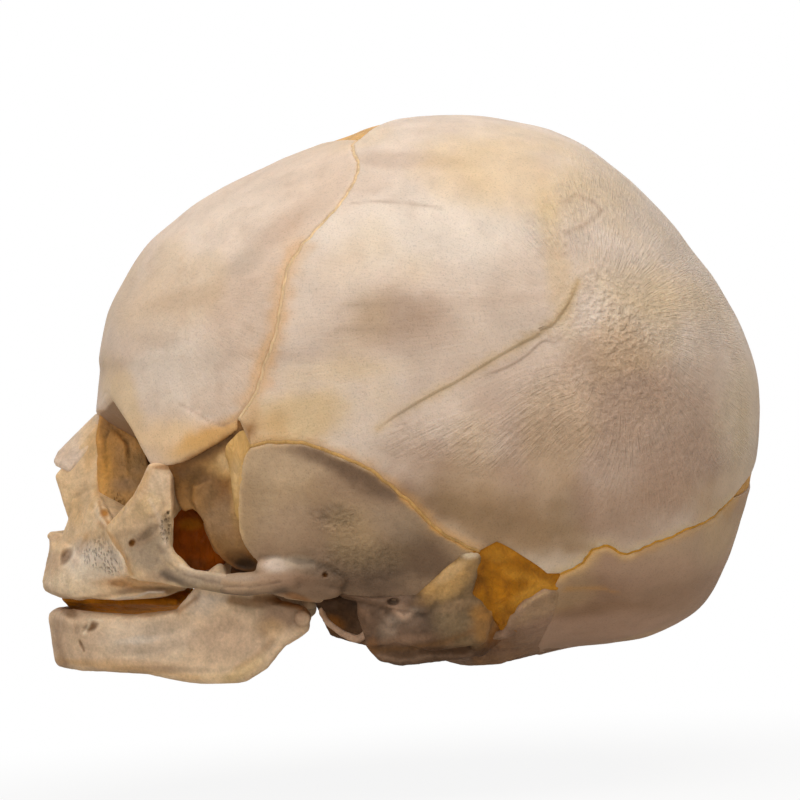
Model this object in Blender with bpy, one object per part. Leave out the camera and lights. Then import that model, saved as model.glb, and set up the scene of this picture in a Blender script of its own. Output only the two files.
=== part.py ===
"""Skull of a near-term human fetus, modelled bone by bone.

The face looks along -X, the skull's left side faces -Y and +Z is up. Places are
pixel coordinates of a side photograph, taken from the skull's left, with a depth
from the mid-plane in the same pixels. One scale turns them into metres, and the
camera's distance takes the perspective out of them.
"""
import math

import bmesh
import bpy
import numpy as np
from mathutils import Matrix, Vector
from mathutils.geometry import delaunay_2d_cdt

MM = 0.001

# Driving sizes
SKULL_LENGTH = 120.0 * MM
SKULL_BREADTH = 86.0 * MM
CAMERA_DISTANCE = 700.0 * MM
FRONTAL_WALL = 1.3 * MM
PARIETAL_WALL = 1.4 * MM
TEMPORAL_WALL = 1.5 * MM
OCCIPITAL_WALL = 1.6 * MM
MEMBRANE_WALL = 0.5 * MM
MEMBRANE_DEPTH = 0.4 * MM
SUTURE_WIDTH = 0.8 * MM
SYMPHYSIS_WIDTH = 1.2 * MM
CONDYLE_RADIUS = 1.4 * MM
CLEARANCE = 0.3 * MM
REST_FLAT = 0.3 * MM
VOXEL = 0.5 * MM
JOIN_DISTANCE = 0.001 * MM

# Scale of the photograph
LENGTH_PX = 717.0
HALF_BREADTH_PX = 257.0
LENS_PX = 400.0
PX = SKULL_LENGTH / LENGTH_PX
HALF_BREADTH = SKULL_BREADTH / 2.0
DEPTH_PX = HALF_BREADTH / HALF_BREADTH_PX
SUTURE_GAP = SUTURE_WIDTH + 2.0 * CLEARANCE
CUT_GAP = CLEARANCE + 0.3 * VOXEL

# Widest point of the braincase, and its outline on the mid-plane, with the steps between two points
POLE_PX = (550.0, 330.0)
PROFILE_STEPS = 8
PROFILE_PX = (
    (96, 419), (98, 393), (100, 371), (99, 357), (105, 325), (112, 304), (124, 281), (137, 258),
    (151, 240), (172, 222), (195, 204), (229, 184), (261, 169), (289, 156), (321, 144), (349, 134),
    (372, 125), (413, 117), (458, 115), (486, 117), (516, 122), (549, 130), (579, 143), (601, 158),
    (633, 184), (670, 222), (692, 251), (713, 277), (729, 304), (744, 335), (756, 373), (759, 410),
    (757, 450), (750, 485), (741, 518), (725, 565), (699, 608), (652, 635), (612, 643), (572, 647),
    (535, 655), (502, 662), (450, 664), (400, 664), (350, 660), (280, 652), (205, 630), (140, 585),
    (105, 535), (94, 480),
)
# How full the braincase is in each direction seen from its widest point: the angle
# in degrees from the back of the head, upwards, then the power of the slope from the
# widest point and the power of the turn towards the mid-plane
FULLNESS_SHARES = (
    (0, 2.3, 2.0), (45, 2.3, 2.0), (90, 2.3, 2.0), (135, 2.4, 2.0), (165, 2.5, 2.0),
    (183, 2.4, 2.2), (200, 2.1, 2.8), (230, 2.1, 3.0), (260, 2.3, 2.6), (290, 2.5, 2.1),
    (325, 2.4, 2.0), (360, 2.3, 2.0),
)

# Edges of the bones of the vault
CORONAL_PX = (
    (359, 138), (354, 149), (358, 173), (351, 187), (335, 209), (319, 226), (300, 247), (291, 261),
    (285, 277),
    (282, 295), (279, 311), (277, 327), (271, 346), (264, 364), (258, 387), (248, 405), (238, 420),
)
SQUAMOUS_PX = (
    (249, 446), (268, 442), (293, 442), (325, 451), (351, 460), (378, 475), (402, 495), (418, 510),
    (433, 526), (447, 536), (466, 546), (480, 552),
)
PARIETAL_MASTOID_PX = ((497, 543), (512, 551), (531, 563), (547, 575))
LAMBDOID_PX = (
    (560, 575), (571, 570), (583, 563), (591, 553), (600, 547), (612, 549), (630, 555), (646, 548),
    (660, 542), (682, 532), (698, 526), (713, 518), (725, 508), (735, 497),
)
SAGITTAL_PX = (
    (757, 450), (759, 410), (756, 373), (744, 335), (713, 277), (670, 222), (601, 158), (549, 130),
    (486, 117), (405, 118),
)
METOPIC_PX = (
    (96, 416), (98, 393), (99, 357), (112, 304), (137, 258), (172, 222), (229, 184), (318, 145),
)
FRONTAL_TEMPLE_PX = ((236, 430), (225, 440), (208, 450), (192, 458), (178, 464), (151, 468))
FRONTAL_RIM_PX = (
    (146, 461), (143, 453), (137, 442), (131, 431), (124, 419), (117, 406), (110, 397), (104, 394),
    (101, 402), (99, 411),
)
TEMPORAL_FRONT_PX = ((240, 456), (238, 480), (238, 510), (241, 530), (250, 554), (260, 566))
TEMPORAL_LOWER_PX = (
    (300, 582), (330, 590), (352, 597), (385, 600), (410, 595), (424, 578), (440, 563), (459, 553),
)
OCCIPITAL_SIDE_PX = ((558, 586), (560, 602), (552, 625), (541, 647))
LAMBDA_MIDLINE_PX = (748, 478)
OCCIPITAL_END_MIDLINE_PX = (535, 655)
ANTERIOR_FONTANELLE_SIDE_PX = (359, 138)
SPHENOIDAL_FONTANELLE_PX = (
    (238, 428), (244, 438), (248, 450), (240, 462), (235, 482), (235, 514), (227, 520), (220, 510),
    (221, 492), (218, 474), (204, 479), (190, 484), (181, 478), (180, 467), (192, 460), (208, 452),
    (225, 442),
)
MASTOID_FONTANELLE_PX = (
    (480, 559), (497, 550), (512, 557), (530, 569), (545, 580), (534, 592), (521, 605), (511, 620),
    (504, 633), (497, 629), (497, 612), (483, 600), (470, 590), (473, 572),
)

# Spacing of a plate's faces, as an angle from the widest point, and how near its edge
# they may come, as a share of the spacing
PLATE_STEP = 0.17
EDGE_SHARE = 0.6
# How far a suture's membrane is drawn back at each end, as a share of its last step
END_SHARE = 0.6
# Steps on the braincase, as angles, over which its slope and its scale are measured
SLOPE_STEP = 0.004
SCALE_STEP = 0.01
# Longest corner of a drawn-in outline, as a share of the straight distance
CORNER_SHARE = 0.6

# Points along the edges of the vault's bones
CORONAL_COUNT = 16
SQUAMOUS_COUNT = 13
LAMBDOID_COUNT = 17
SAGITTAL_COUNT = 15
METOPIC_COUNT = 14
FONTANELLE_EDGE_COUNT = 5
PARIETAL_MASTOID_COUNT = 4
FRONTAL_RIM_COUNT = 11
FRONTAL_TEMPLE_COUNT = 6
TEMPORAL_FRONT_COUNT = 7
TEMPORAL_LOWER_COUNT = 9
OCCIPITAL_SIDE_COUNT = 6
SEAM_COUNT = 8

# Most triangles of each solid bone, and of the grown copies that cut room for neighbours
TRIANGLES = {
    "orbit_roof": 260, "zygomatic_process": 420, "petromastoid": 420, "exoccipital": 360,
    "basioccipital": 120, "sphenoid_body": 320, "greater_wing": 420, "ethmoid": 260, "nasal": 90,
    "maxilla": 620, "zygomatic": 320, "lacrimal": 70, "palatine": 120, "vomer": 90,
    "inferior_concha": 80, "tympanic_ring": 200, "orbital_membrane": 90, "palate_membrane": 200,
    "mandible": 620, "mandibular_symphysis": 240,
}
GROWN_TRIANGLES = 1500
MELT_ROUNDS = 2
SEARCH_ROUNDS = 80
SEARCH_STEP = 0.4
STRIP_CORNERS = 4

# Solid bones. Each group is the hull of balls: x, y, depth from the mid-plane and
# radius in pixels. A depth of None puts the ball just under the braincase's surface.
ORBIT_ROOF_PX = (
    ((101, 404, None, 5), (104, 396, None, 5), (110, 394, None, 5), (205, 470, 70, 5), (192, 452, 32, 5),
     (112, 420, 24, 5)),
    ((110, 394, None, 5), (118, 403, None, 5), (131, 425, None, 5), (200, 476, 124, 5), (205, 470, 70, 5)),
    ((131, 425, None, 5), (144, 450, None, 5), (150, 460, None, 5), (172, 466, 164, 5), (198, 474, 130, 5)),
    ((101, 404, None, 5), (104, 398, None, 5), (112, 420, 22, 5), (102, 414, 10, 5)),
)
ZYGOMATIC_PROCESS_PX = (
    ((228, 583, 191, 9), (262, 581, 197, 10)),
    ((262, 581, 197, 10), (292, 575, 201, 10), (276, 566, 196, 7)),
    ((276, 565, 196, 6), (292, 574, 201, 9), (335, 580, 194, 8), (310, 560, 196, 6)),
    ((286, 600, 180, 9), (292, 578, 198, 8), (326, 586, 194, 8), (314, 600, 174, 8)),
    ((286, 600, 180, 9), (314, 600, 174, 8), (318, 588, 148, 8), (286, 590, 150, 9)),
)
PETROMASTOID_PX = (
    ((424, 604, None, 8), (438, 584, None, 8), (462, 566, None, 7), (464, 590, None, 8),
     (430, 626, 160, 9)),
    ((386, 611, None, 8), (424, 604, None, 8), (432, 588, None, 8), (424, 620, 172, 8)),
    ((428, 590, None, 8), (448, 571, None, 8), (464, 562, None, 7), (464, 590, None, 8)),
    ((430, 626, 160, 9), (464, 590, None, 8), (486, 612, None, 7), (468, 630, 158, 8)),
    ((382, 636, 150, 9), (424, 638, 156, 9), (424, 606, 172, 10), (384, 612, 160, 9)),
    ((432, 604, 148, 20), (392, 604, 116, 18), (402, 626, 108, 12), (440, 626, 140, 10)),
    ((392, 604, 116, 18), (402, 622, 100, 12), (326, 582, 56, 12)),
    ((424, 606, 184, 10), (384, 600, 186, 8), (344, 592, 184, 6), (350, 588, 104, 9), (392, 600, 112, 12)),
)
EXOCCIPITAL_PX = (
    ((411, 643, 48, 9), (466, 655, 56, 12), (432, 634, 98, 9)),
    ((466, 655, 56, 11), (432, 634, 98, 9), (472, 640, 126, 9)),
    ((466, 655, 56, 11), (508, 648, 58, 8), (500, 640, 110, 8), (472, 640, 126, 9)),
    ((500, 640, 110, 8), (472, 640, 126, 8), (490, 634, 150, 7), (514, 634, None, 7)),
    ((508, 648, 58, 8), (530, 644, None, 7), (542, 614, None, 7), (512, 634, 130, 7)),
    ((528, 626, None, 7), (546, 604, None, 7), (556, 590, None, 6), (556, 622, None, 7)),
    ((528, 626, None, 7), (508, 648, 58, 8), (546, 642, None, 7), (556, 622, None, 7)),
)
BASIOCCIPITAL_PX = (
    ((314, 568, 28, 10), (400, 643, 44, 9), (314, 568, -28, 10), (400, 643, -44, 9)),
)
SPHENOID_BODY_PX = (
    ((236, 524, 26, 11), (238, 546, 24, 11), (292, 540, 26, 10), (292, 556, 26, 10),
     (236, 524, -26, 11), (238, 546, -24, 11), (292, 540, -26, 10), (292, 556, -26, 10)),
    ((290, 518, 16, 5), (290, 540, 16, 6), (290, 518, -16, 5), (290, 540, -16, 6)),
    ((236, 518, 18, 6), (226, 508, 58, 5), (216, 510, 12, 5)),
    ((236, 518, -18, 6), (226, 508, -58, 5), (216, 510, -12, 5)),
    ((216, 510, 12, 5), (216, 510, -12, 5), (236, 518, 18, 6), (236, 518, -18, 6)),
    ((226, 508, 58, 5), (214, 494, 104, 5)),
    ((226, 508, -58, 5), (214, 494, -104, 5)),
)
GREATER_WING_PX = (
    ((193, 482, None, 5), (214, 480, None, 5), (221, 512, None, 5), (208, 526, None, 5),
     (193, 503, None, 5)),
    ((208, 526, None, 5), (221, 512, None, 5), (232, 520, None, 5), (242, 548, None, 5),
     (222, 552, 154, 5)),
    ((206, 522, 158, 5), (218, 550, 150, 5), (244, 548, 52, 7), (232, 528, 54, 7)),
    ((218, 550, 150, 5), (252, 562, 150, 5), (276, 560, 52, 7), (244, 548, 52, 7)),
    ((218, 550, 150, 5), (252, 562, 150, 5), (256, 568, 184, 5), (230, 556, 176, 5)),
    ((252, 562, 150, 5), (276, 560, 52, 7), (306, 580, 118, 7), (276, 572, 166, 5)),
    ((240, 556, 50, 7), (228, 602, 52, 5), (242, 606, 54, 5)),
    ((250, 558, 58, 7), (252, 604, 76, 5), (240, 582, 54, 5)),
)
ETHMOID_PX = (
    ((118, 444, 26, 6), (186, 472, 24, 6), (118, 478, 28, 6), (180, 502, 26, 6)),
    ((118, 444, -26, 6), (186, 472, -24, 6), (118, 478, -28, 6), (180, 502, -26, 6)),
    ((118, 438, 26, 5), (190, 466, 24, 5), (118, 438, -26, 5), (190, 466, -24, 5)),
    ((112, 436, 0, 5), (110, 492, 0, 5), (190, 470, 0, 5), (186, 522, 0, 5)),
    ((128, 424, 0, 5), (150, 446, 0, 5), (124, 440, 0, 5)),
)
VOMER_PX = (
    ((86, 560, 0, 5), (196, 562, 0, 5), (222, 534, 0, 6), (120, 520, 0, 5)),
    ((222, 538, 12, 5), (214, 534, 0, 6), (222, 538, -12, 5)),
)
NASAL_PX = (
    ((94, 420, 6, 4.5), (60, 456, 6, 4.5), (57, 463, 14, 4.5), (66, 467, 26, 4.5), (97, 434, 24, 4.5),
     (101, 424, 14, 4.5)),
)
LACRIMAL_PX = (
    ((110, 432, 34, 4.5), (124, 444, 38, 4.5), (128, 482, 46, 4.5), (108, 484, 46, 4.5)),
)
PALATINE_PX = (
    ((176, 572, 8, 5), (176, 572, 60, 5), (200, 570, 46, 5), (198, 570, 8, 5)),
    ((178, 570, 62, 5), (202, 566, 60, 5), (202, 524, 50, 5), (184, 516, 50, 5)),
)
CONCHA_PX = (
    ((92, 534, 36, 4.5), (150, 540, 42, 4.5), (146, 550, 30, 4.5), (94, 548, 24, 4.5)),
)
MAXILLA_PX = (
    ((94, 512, 66, 7), (118, 536, 112, 7), (158, 548, 108, 7), (164, 534, 66, 7), (100, 498, 50, 6)),
    ((94, 512, 66, 7), (118, 536, 112, 7), (92, 574, 70, 9), (124, 580, 96, 9)),
    ((118, 536, 112, 7), (158, 548, 108, 7), (124, 580, 96, 9), (172, 580, 98, 9)),
    ((158, 548, 108, 7), (164, 534, 66, 7), (172, 580, 98, 9), (170, 566, 64, 7)),
    ((76, 508, 30, 6), (94, 512, 66, 7), (92, 574, 70, 9), (70, 548, 28, 7)),
    ((72, 500, 24, 5), (94, 490, 44, 5), (106, 430, 30, 4.5), (96, 426, 24, 4.5)),
    ((62, 474, 20, 5), (60, 480, 20, 5), (72, 496, 24, 5), (90, 486, 38, 5), (96, 430, 26, 4.5)),
    ((72, 500, 24, 5), (94, 490, 44, 5), (94, 512, 66, 7), (76, 520, 28, 6)),
    ((94, 492, 44, 5), (100, 512, 74, 6), (110, 528, 106, 7)),
    ((70, 540, 24, 6), (52, 534, 4, 4.5), (56, 546, 6, 7), (60, 556, 26, 8)),
    ((56, 556, 8, 9), (53, 584, 8, 11), (62, 587, 34, 11), (64, 552, 30, 9)),
    ((64, 552, 30, 9), (62, 587, 34, 11), (80, 589, 58, 12), (92, 566, 70, 9)),
    ((80, 588, 58, 11), (92, 566, 70, 9), (118, 590, 84, 11), (124, 572, 96, 9)),
    ((118, 590, 84, 11), (124, 572, 96, 9), (172, 572, 100, 8), (164, 588, 94, 10)),
    ((164, 588, 94, 10), (172, 572, 100, 8), (184, 582, 96, 7)),
    ((56, 572, 6, 6), (62, 574, 34, 6), (104, 576, 66, 5), (104, 574, 6, 5)),
    ((104, 576, 66, 5), (104, 574, 6, 5), (166, 572, 6, 5), (168, 574, 80, 5)),
    ((112, 532, 110, 7), (128, 556, 130, 9), (128, 572, 124, 7), (150, 560, 116, 7)),
)
ZYGOMATIC_PX = (
    ((114, 531, 118, 6), (134, 574, 138, 6), (160, 577, 160, 6), (164, 540, 167, 6), (130, 512, 148, 6)),
    ((130, 512, 148, 6), (142, 490, 160, 6), (164, 540, 167, 6), (166, 508, 172, 5)),
    ((142, 490, 160, 6), (154, 471, 167, 5), (165, 473, 170, 5), (166, 508, 172, 5)),
    ((164, 540, 167, 6), (160, 577, 160, 6), (174, 562, 178, 6), (180, 582, 177, 6)),
    ((174, 566, 178, 6), (180, 582, 177, 6), (204, 582, 187, 8)),
    ((204, 582, 187, 8), (222, 583, 191, 8)),
    ((166, 476, 166, 5), (179, 480, 152, 5), (181, 502, 148, 5), (164, 514, 160, 5)),
)
MANDIBLE_PX = (
    ((58, 618, 12, 10), (64, 658, 12, 10), (74, 620, 40, 11), (82, 661, 38, 10)),
    ((74, 620, 40, 11), (82, 661, 38, 10), (100, 624, 62, 12), (108, 662, 62, 10)),
    ((100, 624, 62, 12), (108, 662, 62, 10), (136, 626, 84, 12), (146, 664, 86, 10)),
    ((136, 626, 84, 12), (146, 664, 86, 10), (172, 620, 104, 10), (184, 672, 108, 10)),
    ((172, 620, 104, 10), (184, 672, 108, 10), (204, 614, 122, 8), (222, 677, 126, 9)),
    ((204, 614, 122, 8), (222, 677, 126, 9), (234, 614, 140, 6), (244, 674, 140, 8)),
    ((234, 614, 140, 6), (244, 674, 140, 8), (264, 622, 150, 6), (263, 663, 148, 7)),
    ((264, 622, 150, 6), (263, 663, 148, 7), (290, 620, 158, 6), (284, 638, 157, 6)),
    ((200, 612, 122, 7), (212, 574, 148, 5), (220, 568, 150, 5), (236, 600, 144, 5), (238, 620, 142, 6)),
    ((236, 600, 144, 6), (256, 597, 147, 6), (284, 612, 156, 6), (264, 640, 150, 6), (234, 614, 140, 6)),
)
CONDYLE_NECK_PX = ((286, 626, 158, 7), (300, 619, 166, 6))
JAW_HINGE_PX = (303, 618)
CONDYLE_ENDS_PX = (150, 180)
SYMPHYSIS_PX = ((58, 620), (64, 656))
SYMPHYSIS_RADIUS_PX = 7
TYMPANIC_RING_PX = (
    (321, 598, 182, 4), (320, 609, 178, 4), (327, 622, 172, 4), (341, 633, 167, 4.5), (357, 640, 163, 5),
    (367, 634, 165, 4.5), (368, 622, 170, 4),
)
ORBIT_FILM_PX = (
    ((172, 502, 122, 3.5), (204, 512, 118, 3.5), (214, 562, 116, 3.5), (182, 572, 116, 3.5)),
)
PALATE_FILM_PX = (
    ((70, 596, 0, 4), (180, 596, 0, 4), (70, 600, 30, 4), (70, 600, -30, 4), (176, 602, 78, 4),
     (176, 602, -78, 4), (110, 606, 0, 4), (160, 607, 0, 4)),
)

# Linear colours and roughness
BONE_FINISH = ((0.55, 0.42, 0.30), 0.6)
MEMBRANE_FINISH = ((0.53, 0.26, 0.07), 0.4)
FINISHES = {
    "frontal": ((0.74, 0.62, 0.50), 0.55),
    "parietal": ((0.68, 0.55, 0.42), 0.6),
    "temporal_squama": ((0.46, 0.37, 0.28), 0.6),
    "petromastoid": ((0.26, 0.19, 0.14), 0.6),
    "occipital_squama": ((0.34, 0.22, 0.13), 0.6),
    "exoccipital": ((0.30, 0.21, 0.14), 0.6),
    "maxilla": ((0.66, 0.47, 0.28), 0.6),
    "zygomatic": ((0.68, 0.53, 0.35), 0.6),
    "mandible": ((0.60, 0.45, 0.28), 0.6),
}
LEFT = "_left"
RIGHT = "_right"


# Places in the photograph

def to_plane(px, py, depth):
    """Mid-plane x and z of a photographed point that lies depth metres nearer the lens."""
    shrink = 1.0 - depth / CAMERA_DISTANCE
    return (px - LENS_PX) * PX * shrink, (LENS_PX - py) * PX * shrink


def place(px, py, depth_px):
    depth = depth_px * DEPTH_PX
    x, z = to_plane(px, py, depth)
    return Vector((x, -depth, z))


def smooth_loop(points, steps):
    """Closed curve through the points, with the given number of steps between each two."""
    points = np.array(points)
    before, after, later = np.roll(points, 1, 0), np.roll(points, -1, 0), np.roll(points, -2, 0)
    curve = []
    for step in range(steps):
        t = step / steps
        curve.append(0.5 * (2 * points + (after - before) * t
                            + (2 * before - 5 * points + 4 * after - later) * t ** 2
                            + (3 * points - before - 3 * after + later) * t ** 3))
    return np.stack(curve, 1).reshape(-1, 2)


POLE_X, POLE_Z = to_plane(*POLE_PX, HALF_BREADTH)
PROFILE = smooth_loop([to_plane(px, py, 0.0) for px, py in PROFILE_PX], PROFILE_STEPS) - (POLE_X, POLE_Z)
PROFILE_ANGLES = np.degrees(np.arctan2(PROFILE[:, 1], PROFILE[:, 0])) % 360.0
PROFILE_ORDER = np.argsort(PROFILE_ANGLES)
PROFILE_ANGLES = PROFILE_ANGLES[PROFILE_ORDER]
PROFILE_REACH = np.hypot(PROFILE[:, 0], PROFILE[:, 1])[PROFILE_ORDER]
FULLNESS_ANGLES, FULLNESS_SLOPES, FULLNESS_TURNS = np.array(FULLNESS_SHARES).T


def ray(angle):
    """Length of the mid-plane radius at an angle, and the two powers of the surface there."""
    degrees = math.degrees(angle) % 360.0
    reach = np.interp(degrees, PROFILE_ANGLES, PROFILE_REACH, period=360.0)
    slope = np.interp(degrees, FULLNESS_ANGLES, FULLNESS_SLOPES)
    turn = np.interp(degrees, FULLNESS_ANGLES, FULLNESS_TURNS)
    return reach, slope, turn


def vault_point(u, v):
    """Point of the braincase: u and v run from its widest point, a quarter turn to the midline."""
    tilt, angle = math.hypot(u, v), math.atan2(v, u)
    reach, slope, turn = ray(angle)
    out = reach * abs(math.sin(tilt)) ** (2.0 / slope)
    fall = math.cos(tilt)
    width = HALF_BREADTH * math.copysign(abs(fall) ** (2.0 / turn), fall)
    return Vector((POLE_X + out * math.cos(angle), -width, POLE_Z + out * math.sin(angle)))


def vault_normal(u, v):
    across = vault_point(u + SLOPE_STEP, v) - vault_point(u - SLOPE_STEP, v)
    along = vault_point(u, v + SLOPE_STEP) - vault_point(u, v - SLOPE_STEP)
    return across.cross(along).normalized()


def under_vault(uv, depth):
    return vault_point(*uv) - vault_normal(*uv) * depth


def on_vault(px, py):
    """Surface coordinates of a photographed point of the braincase."""
    depth = 0.0
    for _ in range(SEARCH_ROUNDS):
        x, z = to_plane(px, py, depth)
        angle = math.atan2(z - POLE_Z, x - POLE_X)
        reach, slope, turn = ray(angle)
        share = min(1.0, math.hypot(x - POLE_X, z - POLE_Z) / reach)
        depth += SEARCH_STEP * (HALF_BREADTH * (1.0 - share ** slope) ** (1.0 / turn) - depth)
    tilt = math.asin(share ** (slope / 2.0))
    return Vector((math.cos(angle), math.sin(angle))) * tilt


def on_midline(px, py):
    x, z = to_plane(px, py, 0.0)
    return Vector((x - POLE_X, z - POLE_Z)).normalized() * math.pi / 2.0


def on_vault_all(points):
    return [on_vault(px, py) for px, py in points]


def on_midline_all(points):
    return [on_midline(px, py) for px, py in points]


# Outlines on the braincase

def spread(points, count):
    """Points evenly spaced along a line through the given ones, ends included.

    The distance from the widest point runs evenly too, so a line on the midline stays on it.
    """
    points = [Vector(point) for point in points]
    gaps = [(after - before).length for before, after in zip(points, points[1:])]
    marks = np.concatenate(([0.0], np.cumsum(gaps)))
    wanted = np.linspace(0.0, marks[-1], count)
    columns = [np.interp(wanted, marks, [point[axis] for point in points]) for axis in range(2)]
    tilts = np.interp(wanted, marks, [point.length for point in points])
    return [Vector(pair).normalized() * tilt for *pair, tilt in zip(*columns, tilts)]


def surface_scale(uv, direction):
    ahead = vault_point(*(uv + direction * SCALE_STEP))
    behind = vault_point(*(uv - direction * SCALE_STEP))
    return (ahead - behind).length / (2.0 * SCALE_STEP)


def shifted(uv, direction, distance):
    return uv + direction * (distance / surface_scale(uv, direction))


def side_of(before, after):
    run = (after - before).normalized()
    return Vector((-run.y, run.x))


def inset(loop, distance):
    """The outline drawn in by a distance along the surface."""
    size = len(loop)
    area = sum(a.x * b.y - b.x * a.y for a, b in zip(loop, loop[1:] + loop[:1]))
    turn = 1.0 if area > 0.0 else -1.0
    result = []
    for index, point in enumerate(loop):
        first = side_of(loop[index - 1], point) * turn
        second = side_of(point, loop[(index + 1) % size]) * turn
        middle = (first + second).normalized()
        stretch = 1.0 / max(CORNER_SHARE, middle.dot(first))
        result.append(shifted(point, middle, distance * stretch))
    return result


# Meshes

def new_mesh(name, vertices, faces):
    mesh = bpy.data.meshes.new(name)
    mesh.from_pydata([tuple(vertex) for vertex in vertices], [], faces)
    mesh.update()
    return outward(mesh)


def outward(mesh):
    """The mesh with its doubled corners joined and its faces pointing out."""
    shape = bmesh.new()
    shape.from_mesh(mesh)
    bmesh.ops.remove_doubles(shape, verts=shape.verts, dist=JOIN_DISTANCE)
    bmesh.ops.recalc_face_normals(shape, faces=shape.faces)
    if shape.calc_volume(signed=True) < 0.0:
        bmesh.ops.reverse_faces(shape, faces=shape.faces)
    shape.to_mesh(mesh)
    shape.free()
    return mesh


def inside(point, loop):
    """Whether a surface point lies inside an outline."""
    crossings = 0
    for before, after in zip(loop, loop[1:] + loop[:1]):
        if (before.y > point.y) != (after.y > point.y):
            share = (point.y - before.y) / (after.y - before.y)
            crossings += point.x < before.x + share * (after.x - before.x)
    return crossings % 2 == 1


def clear_of_edge(point, loop, distance):
    """Whether a surface point keeps a distance from every stretch of an outline."""
    for before, after in zip(loop, loop[1:] + loop[:1]):
        run = after - before
        share = min(1.0, max(0.0, (point - before).dot(run) / run.length_squared))
        if (before + run * share - point).length < distance:
            return False
    return True


def grid_inside(loop, spacing):
    """Surface points in staggered rows inside an outline."""
    low_u, high_u = min(p.x for p in loop), max(p.x for p in loop)
    low_v, high_v = min(p.y for p in loop), max(p.y for p in loop)
    row_step = spacing * math.sqrt(3.0) / 2.0
    points = []
    for row in range(int((high_v - low_v) / row_step) + 1):
        for column in range(int((high_u - low_u) / spacing) + 2):
            point = Vector((low_u + (column - row % 2 / 2.0) * spacing, low_v + row * row_step))
            if inside(point, loop) and clear_of_edge(point, loop, spacing * EDGE_SHARE):
                points.append(point)
    return points


def plate(name, loop, spacing, wall, top=0.0, across_midline=False):
    """Curved plate under the braincase's surface, inside an outline.

    An outline across the midline gives the left half: it starts and ends on the midline.
    """
    seam = []
    if across_midline:
        seam = [p.normalized() * math.pi / 2.0 for p in spread([loop[-1], loop[0]], SEAM_COUNT)][1:-1]
    border = loop + seam
    points = border + grid_inside(border, spacing)
    cut = delaunay_2d_cdt(points, [], [list(range(len(border)))], 1, 0.0)
    points, triangles = cut[0], cut[2]
    vertices = [under_vault(point, top) for point in points]
    vertices += [under_vault(point, top + wall) for point in points]
    size = len(points)
    faces = list(triangles) + [tuple(corner + size for corner in face[::-1]) for face in triangles]
    rim = range(len(loop) - 1) if across_midline else range(len(loop))
    for k in rim:
        after = (k + 1) % len(loop)
        faces.append((k, after, after + size, k + size))
    if across_midline:
        for k in [0] + list(range(len(loop) - 1, len(border))):
            vertices[k].y = 0.0
            vertices[k + size].y = 0.0
        twins = [Vector((p.x, -p.y, p.z)) for p in vertices]
        faces += [tuple(corner + len(vertices) for corner in face[::-1]) for face in faces]
        vertices += twins
    return new_mesh(name, vertices, faces)


def ribbon(name, line, width, top, wall):
    """Strip of membrane that follows a line on the braincase."""
    vertices, faces = [], []
    for index, point in enumerate(line):
        before, after = line[max(0, index - 1)], line[min(len(line) - 1, index + 1)]
        side = side_of(before, after)
        left, right = shifted(point, side, width / 2.0), shifted(point, -side, width / 2.0)
        vertices += [under_vault(left, top), under_vault(right, top)]
        vertices += [under_vault(right, top + wall), under_vault(left, top + wall)]
    for index in range(len(line) - 1):
        low, high = STRIP_CORNERS * index, STRIP_CORNERS * (index + 1)
        for corner in range(STRIP_CORNERS):
            after = (corner + 1) % STRIP_CORNERS
            faces.append((low + corner, low + after, high + after, high + corner))
    faces += [(3, 2, 1, 0), (high, high + 1, high + 2, high + 3)]
    return new_mesh(name, vertices, faces)


def sphere_directions():
    shape = bmesh.new()
    bmesh.ops.create_icosphere(shape, subdivisions=2, radius=1.0)
    directions = [vertex.co.copy() for vertex in shape.verts]
    shape.free()
    return directions


SPHERE = sphere_directions()


def add_hull(shape, balls):
    """Adds the hull of balls, each a centre and a radius in metres, to a mesh under work."""
    hull = bmesh.new()
    for centre, radius in balls:
        for direction in SPHERE:
            hull.verts.new(centre + direction * radius)
    made = bmesh.ops.convex_hull(hull, input=hull.verts)
    spare = set(made["geom_interior"]) | set(made["geom_unused"])
    loose = [item for item in spare if isinstance(item, bmesh.types.BMVert)]
    bmesh.ops.delete(hull, geom=loose, context="VERTS")
    mesh = bpy.data.meshes.new("hull")
    hull.to_mesh(mesh)
    hull.free()
    shape.from_mesh(mesh)
    bpy.data.meshes.remove(mesh)


def ball(entry, grow):
    """Centre and radius in metres of a ball that a table gives in pixels."""
    px, py, depth_px, radius_px = entry
    radius = radius_px * PX
    if depth_px is None:
        return under_vault(on_vault(px, py), radius), radius + grow
    return place(px, py, depth_px), radius + grow


def hulls(groups, grow=0.0):
    shape = bmesh.new()
    for group in groups:
        add_hull(shape, [ball(entry, grow) for entry in group])
    mesh = bpy.data.meshes.new("hulls")
    shape.to_mesh(mesh)
    shape.free()
    return mesh


def evaluated(mesh, kind, settings):
    """The mesh after one modifier."""
    holder = bpy.data.objects.new("holder", mesh)
    bpy.context.scene.collection.objects.link(holder)
    modifier = holder.modifiers.new(kind, kind)
    for key, value in settings.items():
        setattr(modifier, key, value)
    seen = holder.evaluated_get(bpy.context.evaluated_depsgraph_get())
    result = bpy.data.meshes.new_from_object(seen)
    bpy.data.objects.remove(holder)
    return result


def remeshed(mesh, voxel):
    mesh = evaluated(mesh, "REMESH", {"mode": "VOXEL", "voxel_size": voxel})
    return largest_body(mesh)


def smoothed(mesh, rounds):
    return evaluated(mesh, "SMOOTH", {"factor": 0.5, "iterations": rounds})


def thinned(mesh, triangles):
    """Fewer triangles, the flattest places first."""
    count = sum(len(polygon.vertices) - 2 for polygon in mesh.polygons)
    if count <= triangles:
        return mesh
    return evaluated(mesh, "DECIMATE", {"ratio": triangles / count})


def boolean(mesh, other, operation):
    tool = bpy.data.objects.new("tool", other)
    bpy.context.scene.collection.objects.link(tool)
    result = evaluated(mesh, "BOOLEAN", {"object": tool, "operation": operation, "solver": "EXACT"})
    bpy.data.objects.remove(tool)
    return result


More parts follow.
